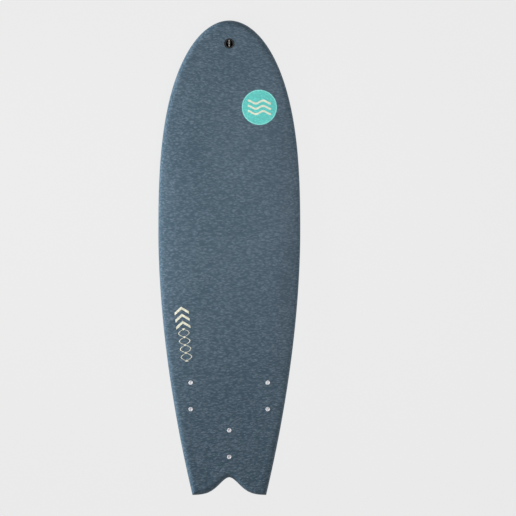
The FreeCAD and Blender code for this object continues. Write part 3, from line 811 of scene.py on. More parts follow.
@dataclass(frozen=True)
class Inks:
    """Printed colours."""

    turquoise: tuple = (0.125, 0.720, 0.650, 1)
    turquoise_rim: tuple = (0.280, 0.840, 0.780, 1)
    cream: tuple = (0.900, 0.880, 0.690, 1)
    red: tuple = (0.520, 0.045, 0.042, 1)
    slate: tuple = (0.032, 0.044, 0.050, 1)


@dataclass(frozen=True)
class Roundel:
    """The round wave mark at its place on a skin."""

    drawing: bpy.types.NodeTree
    inks: Inks
    at: tuple
    radius: float

    def stamp(self, graph: Graph, where: object, colour: object, worn: "Field | float" = 1.0) -> object:
        """Print the mark over a colour.

        Args:
            graph: the material's graph.
            where: the skin's coordinates.
            colour: what lies under the print.
            worn: how much ink is left, from 0 to 1.

        Returns:
            The colour with the print on it.
        """
        mark = graph.group(self.drawing, position=graph.placed(where, self.at), radius=self.radius)
        disc = Field(graph, mark.outputs["Disc"]) * worn
        colour = graph.mix(disc, colour, self.inks.turquoise)
        colour = graph.mix(Field(graph, mark.outputs["Rim"]), colour, self.inks.turquoise_rim)
        return graph.mix(Field(graph, mark.outputs["Waves"]) * disc, colour, self.inks.cream)


@dataclass(frozen=True)
class RailStrip:
    """Print along the port rail: three bold chevrons, then two thin crossed waves with dots."""

    at: tuple = (-0.1655, -0.274, 0)
    turn: float = 6.0
    wave_start: float = 0.1015
    wave_length: float = 0.058
    wave_swing: float = 0.0190
    first_line: float = 0.0017
    second_line: float = 0.0014
    dot_start: float = 0.3915
    dot_pitch: float = 0.0145
    dot_radius: float = 0.0038
    braid_middle: float = 0.0435
    braid_reach: float = 0.0610
    chevron_lean: float = 0.75
    chevron_start: float = 0.1680
    chevron_pitch: float = 0.0130
    chevron_line: float = 0.0050
    chevron_middle: float = 0.0660
    chevron_reach: float = 0.0350
    chevron_side: float = 0.0260

    def drawn(self, graph: Graph, where: object) -> Field:
        """Distance to the nearest line, dot or chevron, turned into a mask.

        Args:
            graph: the material's graph.
            where: the skin's coordinates.

        Returns:
            1 on the print and 0 beside it.
        """
        across, along, _ = graph.split(graph.placed(where, self.at, self.turn))
        swing = ((along + self.wave_start) * (FULL_TURN / self.wave_length)).sin() * self.wave_swing
        lines = ((across - swing).abs() - self.first_line).min((across + swing).abs() - self.second_line)
        wheel = graph.math("PINGPONG", along + self.dot_start, self.dot_pitch)
        dots = graph.math("SQRT", across * across + wheel * wheel) - self.dot_radius
        braid = lines.min(dots).max((along + self.braid_middle).abs() - self.braid_reach)
        rise = along + across.abs() * self.chevron_lean
        stem = graph.math("PINGPONG", rise + self.chevron_start, self.chevron_pitch) - self.chevron_line
        chevrons = stem.max((rise - self.chevron_middle).abs() - self.chevron_reach)
        return braid.min(chevrons.max(across.abs() - self.chevron_side)).inside(PRINT_BLUR)


@dataclass(frozen=True)
class BrushWave:
    """Red brush wave, read from below: a swinging line that thins and flattens to one side."""

    at: tuple = (0.0, 0.439, 0)
    turn: float = -8.0
    half_length: float = 0.1225
    fade_reach: float = 0.13
    fade_least: float = 0.45
    wave_length: float = 0.061
    swing: float = 0.0200
    line: tuple = (0.0022, 0.0050)
    tail_drop: float = 0.0275
    tail_bend: float = 0.35
    tail_line: float = 0.0017

    def drawn(self, graph: Graph, where: object) -> Field:
        """Distance to the wave or to the line under it, turned into a mask.

        Args:
            graph: the material's graph.
            where: the sheet's coordinates.

        Returns:
            1 on the print and 0 beside it.
        """
        across, along, _ = graph.split(graph.placed(where, self.at, self.turn))
        fade = across.ramp(-self.fade_reach, self.fade_reach, self.fade_least, 1.0)
        swing = (across * (FULL_TURN / self.wave_length)).sin() * fade * self.swing
        width = (across * (2 * FULL_TURN / self.wave_length)).sin().ramp(-1, 1, *self.line)
        crest = (along - swing).abs() - width
        tail = (along + self.tail_drop - across * across * self.tail_bend).abs() - self.tail_line
        return crest.min(tail).max(across.abs() - self.half_length).inside(PRINT_BLUR)


@dataclass(frozen=True)
class TickCaption:
    """Dark row of ticks between two hairlines, with a rule of dots above."""

    at: tuple = (0.0, -0.425, 0)
    half_length: float = 0.064
    start: float = 0.400
    tick_pitch: float = 0.005
    tick_line: float = 0.0016
    tick_reach: float = 0.0075
    tick_drop: float = 0.004
    rule_reach: float = 0.0130
    rule_line: float = 0.0010
    dot_pitch: float = 0.008
    dot_radius: float = 0.0030
    dot_lift: float = 0.0235

    def drawn(self, graph: Graph, where: object) -> Field:
        """Distance to the nearest tick, hairline or dot, turned into a mask.

        Args:
            graph: the material's graph.
            where: the sheet's coordinates.

        Returns:
            1 on the print and 0 beside it.
        """
        across, along, _ = graph.split(graph.placed(where, self.at))
        tick = graph.math("PINGPONG", across + self.start, self.tick_pitch) - self.tick_line
        level = (along + self.tick_drop).abs()
        lines = (level - self.rule_reach).abs() - self.rule_line
        wheel = graph.math("PINGPONG", across + self.start, self.dot_pitch)
        height = along - self.dot_lift
        dots = graph.math("SQRT", wheel * wheel + height * height) - self.dot_radius
        marks = tick.max(level - self.tick_reach).min(lines).min(dots)
        return marks.max(across.abs() - self.half_length).inside(PRINT_BLUR)


@dataclass(frozen=True)
class DeckFoam:
    """Slate-blue closed-cell foam with an embossed crinkle and two prints; its grooves carry painted shade
    and its crests a painted highlight.
    """

    groups: dict
    inks: Inks
    # The crest colour is the foam's slate blue with a painted highlight; the groove colour is the same foam
    # darkened with painted shade.
    crest: tuple = (0.154, 0.216, 0.281, 1)
    groove_painted_shade: tuple = (0.032, 0.074, 0.111, 1)
    rough: tuple = (0.56, 0.70)
    gloss: float = 0.7
    emboss_depth: float = 0.0016
    emboss_stretch: float = 2.7
    pebble_scale: float = 205.0
    small_scale: float = 120.0
    pebble_share: float = 0.68
    swirl_scale: float = 45.0
    swirl_reach: float = 0.012
    tooth_scale: float = 520.0
    patch_scale: float = 7.0
    ink_left_in_grooves: float = 0.80
    roundel_at: tuple = (0.1095, 0.5480, 0)
    roundel_radius: float = 0.064
    strip: RailStrip = RailStrip()

    def emboss(self, graph: Graph, where: object) -> Field:
        """Two sizes of cells on swirled coordinates, longer across the board than along it.

        Args:
            graph: the material's graph.
            where: the skin's coordinates.

        Returns:
            0 in the grooves and 1 on the crests.
        """
        swirl = graph.node("ShaderNodeTexNoise")
        graph.join(where, swirl.inputs["Vector"])
        swirl.inputs["Scale"].default_value = self.swirl_scale
        warped = graph.node("ShaderNodeVectorMath", operation="MULTIPLY_ADD")
        graph.join(swirl.outputs["Color"], warped.inputs[0])
        warped.inputs[1].default_value = (self.swirl_reach, self.swirl_reach, 0.0)
        graph.join(where, warped.inputs[2])
        long_way = graph.placed(warped.outputs[0], (0, 0, 0), 0, (self.emboss_stretch, 1.0, 1.0))
        pebble = graph.cells(long_way, self.pebble_scale).ramp(0.06, 0.60, 1.0, 0.0)
        small = graph.cells(long_way, self.small_scale).ramp(0.05, 0.60, 1.0, 0.0)
        return pebble * self.pebble_share + small * (1 - self.pebble_share)

    def build(self) -> bpy.types.Material:
        """Make the material.

        Returns:
            The material.
        """
        material, graph, shader = start_material("deck_foam")
        where = graph.position()
        edge = self.emboss(graph, where)
        fine = graph.noise(where, self.tooth_scale, 3.0, 0.6)
        patch = graph.noise(where, self.patch_scale, 4.0, 0.55).ramp(0.3, 0.7, -0.5, 0.5)
        # Painted light from the emboss: lighter on the crests as a painted highlight, darker in the grooves
        # as painted shade, plus fine grain and broad random patches of tone.
        relief_light_and_tone = edge * 0.85 + fine * 0.22 - patch * 0.12
        colour = graph.mix(relief_light_and_tone.ramp(0.10, 0.95), self.groove_painted_shade, self.crest)
        worn = edge.ramp(0.0, 0.5, self.ink_left_in_grooves, 1.0)
        roundel = Roundel(self.groups["roundel"], self.inks, self.roundel_at, self.roundel_radius)
        colour = roundel.stamp(graph, where, colour, worn)
        colour = graph.mix(self.strip.drawn(graph, where) * worn, colour, self.inks.cream)
        shader.inputs["Specular IOR Level"].default_value = self.gloss
        height = edge * 0.85 + fine * 0.25
        graph.feed(shader, colour, fine.ramp(0.2, 0.8, *self.rough), graph.bump(height, self.emboss_depth))
        return material


@dataclass(frozen=True)
class SlickSheet:
    """Pale smooth bottom sheet with faint streaks along the board and its prints."""

    groups: dict
    inks: Inks
    base: tuple = (0.640, 0.705, 0.735, 1)
    streak: tuple = (0.690, 0.740, 0.760, 1)
    rough: tuple = (0.22, 0.34)
    streak_stretch: float = 22.0
    streak_scale: float = 70.0
    cloud_scale: float = 3.2
    ripple_scale: float = 14.0
    ripple_depth: float = 0.0012
    ripple_strength: float = 0.35
    roundel_at: tuple = (0.0, 0.583, 0)
    roundel_radius: float = 0.086
    flourish: BrushWave = BrushWave()
    caption: TickCaption = TickCaption()

    def build(self) -> bpy.types.Material:
        """Make the material.

        Returns:
            The material.
        """
        material, graph, shader = start_material("slick_sheet")
        where = graph.position()
        lengthwise = graph.placed(where, (0, 0, 0), 0, (1, self.streak_stretch, 1))
        drawn = graph.noise(lengthwise, self.streak_scale, 3.0, 0.5)
        soft = graph.noise(where, self.cloud_scale, 3.0, 0.5)
        colour = graph.mix((drawn * 0.5 + soft * 0.5).ramp(0.35, 0.65), self.base, self.streak)
        roundel = Roundel(self.groups["roundel"], self.inks, self.roundel_at, self.roundel_radius)
        colour = roundel.stamp(graph, where, colour)
        colour = graph.mix(self.flourish.drawn(graph, where), colour, self.inks.red)
        colour = graph.mix(self.caption.drawn(graph, where), colour, self.inks.slate)
        ripple = graph.noise(where, self.ripple_scale, 2.0, 0.4)
        normal = graph.bump(ripple, self.ripple_depth, self.ripple_strength)
        graph.feed(shader, colour, drawn.ramp(0.3, 0.7, *self.rough), normal)
        return material


class Grip(Enum):
    """How much a moulding's fine grain shows: bump depth in metres."""

    POLISHED = 0.00003
    SATIN = 0.00010
    TEXTURED = 0.00055


@dataclass(frozen=True)
class Moulding:
    """Moulded plastic, rubber or turned metal with a fine grain and a little unevenness."""

    name: str
    groups: dict
    dark: tuple
    light: tuple
    rough: tuple = (0.30, 0.45)
    grip: Grip = Grip.SATIN
    grain: float = 900.0
    metal: float = 0.0
    gloss: float = 0.5
    glow: float = 0.45
    glow_depth: float = 0.0

    def build(self) -> bpy.types.Material:
        """Make the material.

        Returns:
            The material.
        """
        material, graph, shader = start_material(self.name)
        grain = graph.group(self.groups["grain"], position=graph.position(), grain=self.grain)
        blotch = Field(graph, grain.outputs["Blotch"])
        colour = graph.mix(blotch.ramp(0.3, 0.7), self.dark, self.light)
        shader.inputs["Metallic"].default_value = self.metal
        shader.inputs["Specular IOR Level"].default_value = self.gloss
        if self.glow_depth:
            shader.inputs["Subsurface Weight"].default_value = self.glow
            shader.inputs["Subsurface Radius"].default_value = (1.0, 1.0, 1.0)
            shader.inputs["Subsurface Scale"].default_value = self.glow_depth
        normal = graph.bump(Field(graph, grain.outputs["Height"]), self.grip.value)
        graph.feed(shader, colour, blotch.ramp(0.3, 0.7, *self.rough), normal)
        return material


@dataclass(frozen=True)
class BeadFoam:
    """Expanded foam: pale beads pressed into each other."""

    seam: tuple = (0.68, 0.70, 0.70, 1)
    bead: tuple = (0.88, 0.89, 0.88, 1)
    rough: tuple = (0.75, 0.55)
    scale: float = 260.0
    depth: float = 0.0008

    def build(self) -> bpy.types.Material:
        """Make the material.

        Returns:
            The material.
        """
        material, graph, shader = start_material("bead_foam")
        bead = graph.cells(graph.position(), self.scale, "DISTANCE_TO_EDGE").ramp(0.0, 0.25)
        colour = graph.mix(bead, self.seam, self.bead)
        graph.feed(shader, colour, bead.ramp(0, 1, *self.rough), graph.bump(bead, self.depth))
        return material


@dataclass(frozen=True)
class StringerWood:
    """Thin plywood with grain along the board."""

    early: tuple = (0.30, 0.17, 0.08, 1)
    late: tuple = (0.56, 0.37, 0.20, 1)
    pore: tuple = (0.16, 0.08, 0.04, 1)
    rough: tuple = (0.7, 0.5)
    stretch: float = 14.0
    grain_scale: float = 160.0
    pore_scale: float = 900.0
    depth: float = 0.0003

    def build(self) -> bpy.types.Material:
        """Make the material.

        Returns:
            The material.
        """
        material, graph, shader = start_material("stringer_wood")
        where = graph.placed(graph.position(), (0, 0, 0), 0, (1, self.stretch, 1))
        grain = graph.noise(where, self.grain_scale, 5.0, 0.65)
        pores = graph.noise(where, self.pore_scale, 2.0, 0.5).ramp(0.55, 0.75, 0, 0.5)
        colour = graph.mix(pores, graph.mix(grain.ramp(0.3, 0.7), self.early, self.late), self.pore)
        graph.feed(shader, colour, grain.ramp(0, 1, *self.rough), graph.bump(grain, self.depth))
        return material


@dataclass(frozen=True)
class GlassScrim:
    """Open glass-fibre weave set in clear resin."""

    resin: tuple = (0.42, 0.40, 0.30, 1)
    yarn: tuple = (0.78, 0.77, 0.68, 1)
    rough: tuple = (0.25, 0.5)
    pitch: float = 0.0022
    depth: float = 0.0002

    def build(self) -> bpy.types.Material:
        """Make the material.

        Returns:
            The material.
        """
        material, graph, shader = start_material("glass_scrim")
        across, along, _ = graph.split(graph.position())
        warp = (across * (FULL_TURN / self.pitch)).sin()
        weft = (along * (FULL_TURN / self.pitch)).sin()
        weave = warp.max(weft).ramp(-0.2, 1.0)
        colour = graph.mix(weave, self.resin, self.yarn)
        graph.feed(shader, colour, weave.ramp(0, 1, *self.rough), graph.bump(weave, self.depth))
        return material


@dataclass(frozen=True)
class BrushedBar:
    """Brushed stainless bar: fine scratches round its length."""

    scratch: tuple = (0.17, 0.16, 0.15, 1)
    polish: tuple = (0.30, 0.28, 0.27, 1)
    rough: tuple = (0.30, 0.46)
    stretch: float = 8.0
    scale: float = 2600.0
    depth: float = 0.00004

    def build(self) -> bpy.types.Material:
        """Make the material.

        Returns:
            The material.
        """
        material, graph, shader = start_material("brushed_bar")
        where = graph.placed(graph.position(), (0, 0, 0), 0, (self.stretch, 1, self.stretch))
        lines = graph.noise(where, self.scale, 2.0, 0.5)
        colour = graph.mix(lines.ramp(0.3, 0.7), self.scratch, self.polish)
        shader.inputs["Metallic"].default_value = 1.0
        graph.feed(shader, colour, lines.ramp(0.2, 0.8, *self.rough), graph.bump(lines, self.depth))
        return material


# ------------------------------------------------------------------------------------ sub-assemblies


@dataclass
class Bolts:
    """Places and hardware heights of the six fin bolts."""

    hull: HullCurves
    side_offset: float = 0.1405
    side_setback: float = 0.3580
    centre_setback: float = 0.1835
    spacing: float = 0.0967
    shank: float = 0.0040
    head_radius: float = 0.0078
    head_height: float = 0.0040
    head_proud: float = 0.0008
    hole_radius: float = 0.0081
    shank_end: float = 0.0070
    shank_bevel: float = 0.0006
    under_bevel: float = 0.0003
    shoulder: float = 0.0013
    dish_radius: float = 0.0060
    dish_width: float = 0.0012
    dish_depth: float = 0.0011
    socket: float = 0.0046
    socket_bevel: float = 0.0002
    socket_depth: float = 0.0028
    deck_cut: float = 0.009
    slick_cut: float = 0.004
    slick_hole_radius: float = 0.0111
    clear: float = 0.010

    def fin_frame(self, fin: str) -> LocalFrame:
        """The fin's place on the bottom, at the middle of its bolts.

        Args:
            fin: port, starboard or centre.

        Returns:
            The frame.
        """
        half = self.hull.length / 2
        x = {"port": -self.side_offset, "starboard": self.side_offset, "centre": 0.0}[fin]
        y = -half + (self.centre_setback if fin == "centre" else self.side_setback)
        return self.hull.surface_frame(x, y, lambda at_x, at_y: self.hull.bottom(at_y))

    def frames(self, fin: str) -> list[LocalFrame]:
        """The fin's two bolts, on the bottom surface.

        Args:
            fin: port, starboard or centre.

        Returns:
            The two frames.
        """
        frame = self.fin_frame(fin)
        return [frame.moved(side * self.spacing / 2, 0) for side in (1, -1)]

    def cutters(self, top: bool) -> list[Patch]:
        """Round cutters through the deck foam, or through the bottom sheet.

        Args:
            top: True for the deck foam, False for the bottom sheet.

        Returns:
            One closed surface for each bolt.
        """
        patches = []
        for fin in ("port", "starboard", "centre"):
            for frame in self.frames(fin):
                deck = self.hull.height_along(frame)
                through_deck = (deck - self.deck_cut, deck + self.clear)
                low, high = through_deck if top else (-self.clear, self.slick_cut)
                radius = self.hole_radius if top else self.slick_hole_radius
                profile = np.array([(0, low), (radius, low), (radius, high), (0, high)])
                patches.append(Patch.turned(profile, frame, 48))
        return patches

    def build(self, fin: str, material: bpy.types.Material) -> None:
        """Screws of one fin: round dished heads with a hexagon socket, and their shanks.

        Args:
            fin: port, starboard or centre.
            material: the screws' finish.
        """
        patches = []
        for frame in self.frames(fin):
            top = self.hull.height_along(frame) + self.head_proud
            under = top - self.head_height
            radius = self.head_radius
            soft = self.shoulder
            arc = np.linspace(0, math.pi / 2, 6)
            shoulder = [(radius - soft + soft * math.cos(a), top - soft + soft * math.sin(a)) for a in arc]
            dish = [(self.dish_radius - self.dish_width * share,
                     top - self.dish_depth * math.sin(share * math.pi / 2)) for share in np.linspace(0, 1, 6)]
            mouth = top - self.dish_depth - self.socket_bevel
            inner = self.socket - self.socket_bevel
            floor = top - self.socket_depth
            rows = [(0.0, self.shank_end), (self.shank - self.shank_bevel, self.shank_end),
                    (self.shank, self.shank_end + self.shank_bevel), (self.shank, under),
                    (radius - self.under_bevel, under), (radius, under + self.under_bevel)]
            rows += shoulder + dish + [(self.socket, mouth), (inner, mouth - self.socket_bevel)]
            rows += [(inner, floor), (0.0, floor)]
            hexagon = np.array([0.0] * (len(rows) - 4) + [1.0, 1.0, 1.0, 0.0])
            patches.append(Patch.turned(np.array(rows), frame, 96, hexagon))
        piece = make_mesh("screws_" + fin, patches)
        finish_piece(piece, material, "screw_nylon", Shading.CRISP, "fin_screws_" + fin)


@dataclass
class LeashPlug:
    """Black cup let into the deck near the nose, with a steel bar across it."""

    hull: HullCurves
    setback: float = 0.0840
    rim_radius: float = 0.0185
    rim_height: float = 0.0022
    rim_proud: float = 0.0010
    body_radius: float = 0.0150
    body_depth: float = 0.0230
    mouth_radius: float = 0.0125
    bowl_depth: float = 0.0170
    bar_radius: float = 0.0032
    bar_drop: float = 0.0065
    bar_length: float = 0.0280
    rim_round: float = 0.0014
    lip_round: float = 0.0010
    bowl_round: float = 0.0075
    foot_bevel: float = 0.0010
    bar_bevel: float = 0.0005
    fit: float = 0.0001
    cut_depth: float = 0.020
    clear: float = 0.010

    def frame(self) -> LocalFrame:
        """The plug's place, at the top of its rim."""
        y = self.hull.length / 2 - self.setback
        return self.hull.surface_frame(0.0, y, self.hull.deck).moved(0, self.rim_proud)

    def cutter(self) -> Patch:
        """Stepped cutter for the deck foam.

        Returns:
            The closed surface.
        """
        rim = self.rim_radius + self.fit
        body = self.body_radius + self.fit
        rows = [(0, -self.cut_depth), (body, -self.cut_depth), (body, -self.rim_height),
                (rim, -self.rim_height), (rim, self.clear), (0, self.clear)]
        return Patch.turned(np.array(rows), self.frame(), 96)

    def build(self, black: bpy.types.Material, steel: bpy.types.Material) -> None:
        """Cup with a rounded rim and bowl, and the bar.

        Args:
            black: the cup's finish.
            steel: the bar's finish.
        """
        arc = np.linspace(0, math.pi / 2, 8)
        soft, lip, deep = self.rim_round, self.lip_round, self.bowl_round
        rim = [(self.rim_radius - soft + soft * math.cos(a), -soft + soft * math.sin(a)) for a in arc]
        mouth = [(self.mouth_radius + lip - lip * math.sin(a), -lip + lip * math.cos(a)) for a in arc]
        bowl = [(self.mouth_radius - deep + deep * math.cos(a), -self.bowl_depth + deep - deep * math.sin(a))
                for a in np.linspace(0, math.pi / 2, 12)]
        rows = [(0.0, -self.body_depth), (self.body_radius - self.foot_bevel, -self.body_depth),
                (self.body_radius, -self.body_depth + self.foot_bevel), (self.body_radius, -self.rim_height),
                (self.rim_radius, -self.rim_height)]
        rows += rim + mouth + bowl + [(0.0, -self.bowl_depth)]
        cup = make_mesh("leash_plug_cup", [Patch.turned(np.array(rows), self.frame(), 128)])
        finish_piece(cup, black, "plug_plastic", Shading.CRISP, "leash_cup")
        frame = self.frame().moved(0, -self.bar_drop)
        lying = LocalFrame(frame.origin, np.stack([frame.axes[0], -frame.axes[2], frame.axes[1]]))
        half = self.bar_length / 2
        edge = self.bar_bevel
        rows = [(0, -half), (self.bar_radius - edge, -half), (self.bar_radius, -half + edge)]
        rows += [(self.bar_radius, half - edge), (self.bar_radius - edge, half), (0, half)]
        bar = make_mesh("leash_plug_bar", [Patch.turned(np.array(rows), lying, 48)])
        finish_piece(bar, steel, "bar_steel", Shading.CRISP, "leash_bar")


@dataclass
class GripRecess:
    """Moulded tray in the bottom with a row of finger lobes."""

    hull: HullCurves
    offset: float = 0.095
    length: float = 0.116
    width: float = 0.0395
    waist: float = 0.0293
    pitch: float = 0.0328
    depth: float = 0.020
    wall: float = 0.002
    corner: float = 0.0030
    rim_round: tuple = ((0.0, 0.0005), (0.0002, 0.0001), (0.0005, 0.0))
    mouth_round: tuple = ((0.0006, 0.0), (0.0002, 0.0003))
    wall_start: float = 0.0009
    end_curve: float = 0.8
    side_curve: float = 0.4
    spine_share: float = 0.72
    fit: float = 0.0001
    clear: float = 0.010
    count: int = 192

    def frame(self) -> LocalFrame:
        """The recess's place on the bottom."""
        return self.hull.surface_frame(-self.offset, 0.0, lambda x, y: self.hull.bottom(y))

    def ring(self, inset: float, height: float) -> Array:
        """Outline with finger lobes: a rounded oblong whose half width swings as a cosine along it.

        Args:
            inset: how far the ring lies inside the outline.
            height: its height above the bottom.

        Returns:
            The ring's points.
        """
        turn = np.arange(self.count) * 2 * math.pi / self.count
        half = self.length / 2 - inset
        middle = (self.width + self.waist) / 4 - inset
        wave = (self.width - self.waist) / 4
        y = half * np.sign(np.sin(turn)) * np.abs(np.sin(turn)) ** self.end_curve
        lobe = middle - wave * np.cos(2 * math.pi * y / self.pitch)
        x = lobe * np.sign(np.cos(turn)) * np.abs(np.cos(turn)) ** self.side_curve
        return self.frame().place(np.stack([x, y, np.full(self.count, height)], 1))

    def floor(self, height: float, shares: Array, inset: float) -> list[Array]:
        """Rings that close a floor towards a line along its middle.

        Args:
            height: the floor's height.
            shares: how far each ring is drawn in, from 0 to 1.
            inset: how far the outer ring lies inside the outline.

        Returns:
            The rings.
        """
        outer = self.ring(inset, height)
        centre = self.frame().place(np.array([[0.0, 0.0, height]]))
        across = (outer - centre) @ self.frame().axes.T
        line = centre + across * np.array([0.0, self.spine_share, 0.0]) @ self.frame().axes
        return [outer * (1 - share) + line * share for share in shares]

    def cutter(self) -> Patch:
        """Prism through the bottom sheet.

        Returns:
            The closed surface.
        """
        low = self.floor(-self.clear, np.linspace(1, 0, 3), -self.fit)
        high = self.floor(self.clear, np.linspace(0, 1, 3), -self.fit)
        return Patch.rings(low + high)

    def build(self, material: bpy.types.Material) -> None:
        """The tray: outer wall, rolled rim, inner wall, rounded corner and floor.

        Args:
            material: the tray's finish.
        """
        soft = self.corner
        floor = self.depth - self.wall
        rows = self.floor(self.depth, np.linspace(1, 0, 4), 0.0)
        rows += [self.ring(inset, height) for inset, height in self.rim_round]
        rows += [self.ring(self.wall - inset, height) for inset, height in self.mouth_round]
        rows += [self.ring(self.wall, height) for height in np.linspace(self.wall_start, floor - soft, 10)]
        for angle in np.linspace(0, math.pi / 2, 7)[1:]:
            inset = self.wall + soft - soft * math.cos(angle)
            rows.append(self.ring(inset, floor - soft + soft * math.sin(angle)))
        rows += self.floor(floor, np.linspace(0, 1, 10)[1:], self.wall + soft)
        piece = make_mesh("grip_recess_liner", [Patch.rings(rows)])
        finish_piece(piece, material, "grip_plastic", Shading.CRISP, "grip_liner")


@dataclass
class Fin:
    """One swept fin: foiled blade, oval foot and the two posts that enter the hull."""

    bolts: Bolts
    side: str
    base: float = 0.130
    depth: float = 0.112
    rake: float = 0.052
    thick: float = 0.0095
    tip_thick: float = 0.0026
    edge: float = 0.0014
    cant: float = 5.0
    foot_width: float = 0.025
    foot_length: float = 0.136
    foot_height: float = 0.0022
    post_radius: float = 0.0075
    post_length: float = 0.017
    post_bevel: float = 0.0006
    post_sunk: float = 0.001
    bore_radius: float = 0.0055
    bore_depth: float = 0.012
    foot_round: float = 0.0010
    foot_spine: float = 0.8
    fillet: float = 0.0035
    fillet_drop: float = 0.9
    fillet_fade: float = 1.5
    blade_end: float = 0.985
    sweep_curve: float = 1.2
    sweep_reach: float = 0.54
    trailing_curve: float = 3.0
    trailing_belly: float = 0.020
    thinning_curve: float = 1.2
    thick_limit: float = 0.45
    foil_fullness: float = 1.9
    foil_scale: float = 1.06
    flank_count: int = 48

    def run(self) -> Array:
        """Share of the chord from the leading edge, dense at both ends, for one flank."""
        return (1 - np.cos(np.linspace(0, math.pi, self.flank_count))) / 2

    def section(self, share: float, flare: float = 0.0, height: float | None = None) -> Array:
        """Foil ring at a share of the depth.

        The leading edge sweeps back by a power of the depth and the trailing edge by its cube. The half
        thickness grows with the square root of the distance from the leading edge and falls to a blunt
        trailing edge.

        Args:
            share: 0 at the hull and 1 at the tip.
            flare: how much wider the ring is on each side, where the blade meets its foot.
            height: height of the ring, if it isn't the section's own.

        Returns:
            The ring's points in the board's frame.
        """
        front = self.base / 2
        swept = 1 - (1 - share**self.sweep_curve) ** self.sweep_reach
        leading = front - (self.base + self.rake) * swept
        belly = self.trailing_belly * share * (1 - share)
        trailing = -front - self.rake * share**self.trailing_curve + belly
        chord = leading - trailing
        taper = self.thick - self.tip_thick
        thick = self.tip_thick + taper * (1 - share) ** self.thinning_curve
        thick = min(thick, self.thick_limit * chord)
        edge = min(self.edge, 0.5 * thick)
        run = self.run()
        full = self.foil_fullness
        half = thick / 2 * np.sqrt(run) * (full - (full - 1) * run) * self.foil_scale
        half = np.maximum(half * (1 - run**4), edge / 2 * np.sqrt(run))
        lean = {"port": -1, "starboard": 1, "centre": 0}[self.side] * math.tan(math.radians(self.cant))
        level = -self.depth * share if height is None else height
        middle = lean * self.depth * share
        y = leading + flare - (chord + 2 * flare) * run
        wide = half + flare * np.sqrt(np.clip(4 * run * (1 - run), 0, 1))
        return self.closed(middle, wide, y, level)

    def closed(self, middle: float, half: Array, y: Array, level: float) -> Array:
        """Ring that runs back along one flank and forward along the other.

        Args:
            middle: place of the ring's middle across the fin.
            half: half width at each point.
            y: place of each point along the fin.
            level: the ring's height.

        Returns:
            The ring's points.
        """
        starboard = np.stack([middle + half, y, np.full(len(y), level)], 1)
        port = np.stack([middle - half, y, np.full(len(y), level)], 1)[::-1][1:-1]
        return self.bolts.fin_frame(self.side).place(np.concatenate([starboard, port]))

    def foot(self, inset: float, level: float) -> Array:
        """Oval ring of the foot: straight sides and half-round ends.

        Args:
            inset: how far the ring lies inside the foot's outline.
            level: its height.

        Returns:
            The ring's points.
        """
        radius = self.foot_width / 2 - inset
        half = self.foot_length / 2 - inset
        y = half - 2 * half * self.run()
        over = np.clip(np.abs(y) - (half - radius), 0, None)
        wide = np.sqrt(np.clip(radius**2 - over**2, 0, None))
        return self.closed(0.0, wide, y, level)

    def build(self, material: bpy.types.Material) -> None:
        """Foot, fillet, blade, rounded tip and posts as closed surfaces.

        Args:
            material: the fin's finish.
        """
        soft = self.foot_round
        low = -self.foot_height
        top_ring = self.foot(0.0, 0.0)
        shrink = np.array([0.0, self.foot_spine, self.foot_spine])
        spine = top_ring.mean(0) + (top_ring - top_ring.mean(0)) * shrink
        rows = [spine, top_ring]
        for angle in np.linspace(0, math.pi / 2, 5):
            rows.append(self.foot(soft - soft * math.cos(angle), low + soft - soft * math.sin(angle)))
        root = self.foot_height / self.depth
        reach = self.fillet * self.fillet_drop
        for angle in np.linspace(0, math.pi / 2, 7):
            level = low - reach * math.sin(angle)
            flare = reach * (1 - math.sin(angle)) ** self.fillet_fade
            rows.append(self.section(-level / self.depth, flare, level))
        start = root + reach / self.depth
        for step in np.linspace(0, 1, 44)[1:]:
            rows.append(self.section(start + (self.blade_end - start) * math.sin(step * math.pi / 2)))
        tip = rows[-1]
        rows += [tip.mean(0) + (tip - tip.mean(0)) * share for share in (0.7, 0.0)]
        patches = [Patch.rings(rows)]
        for frame in self.bolts.frames(self.side):
            radius, top, bore = self.post_radius, self.post_length, self.bore_radius
            profile = [(0, -self.post_sunk), (radius, -self.post_sunk), (radius, top - self.post_bevel),
                       (radius - self.post_bevel, top), (bore, top), (bore, top - self.bore_depth),
                       (0, top - self.bore_depth)]
            patches.append(Patch.turned(np.array(profile), frame, 48))
        piece = make_mesh("fin_blade_" + self.side, patches)
        finish_piece(piece, material, "fin_plastic", Shading.CRISP, "fin_" + self.side)


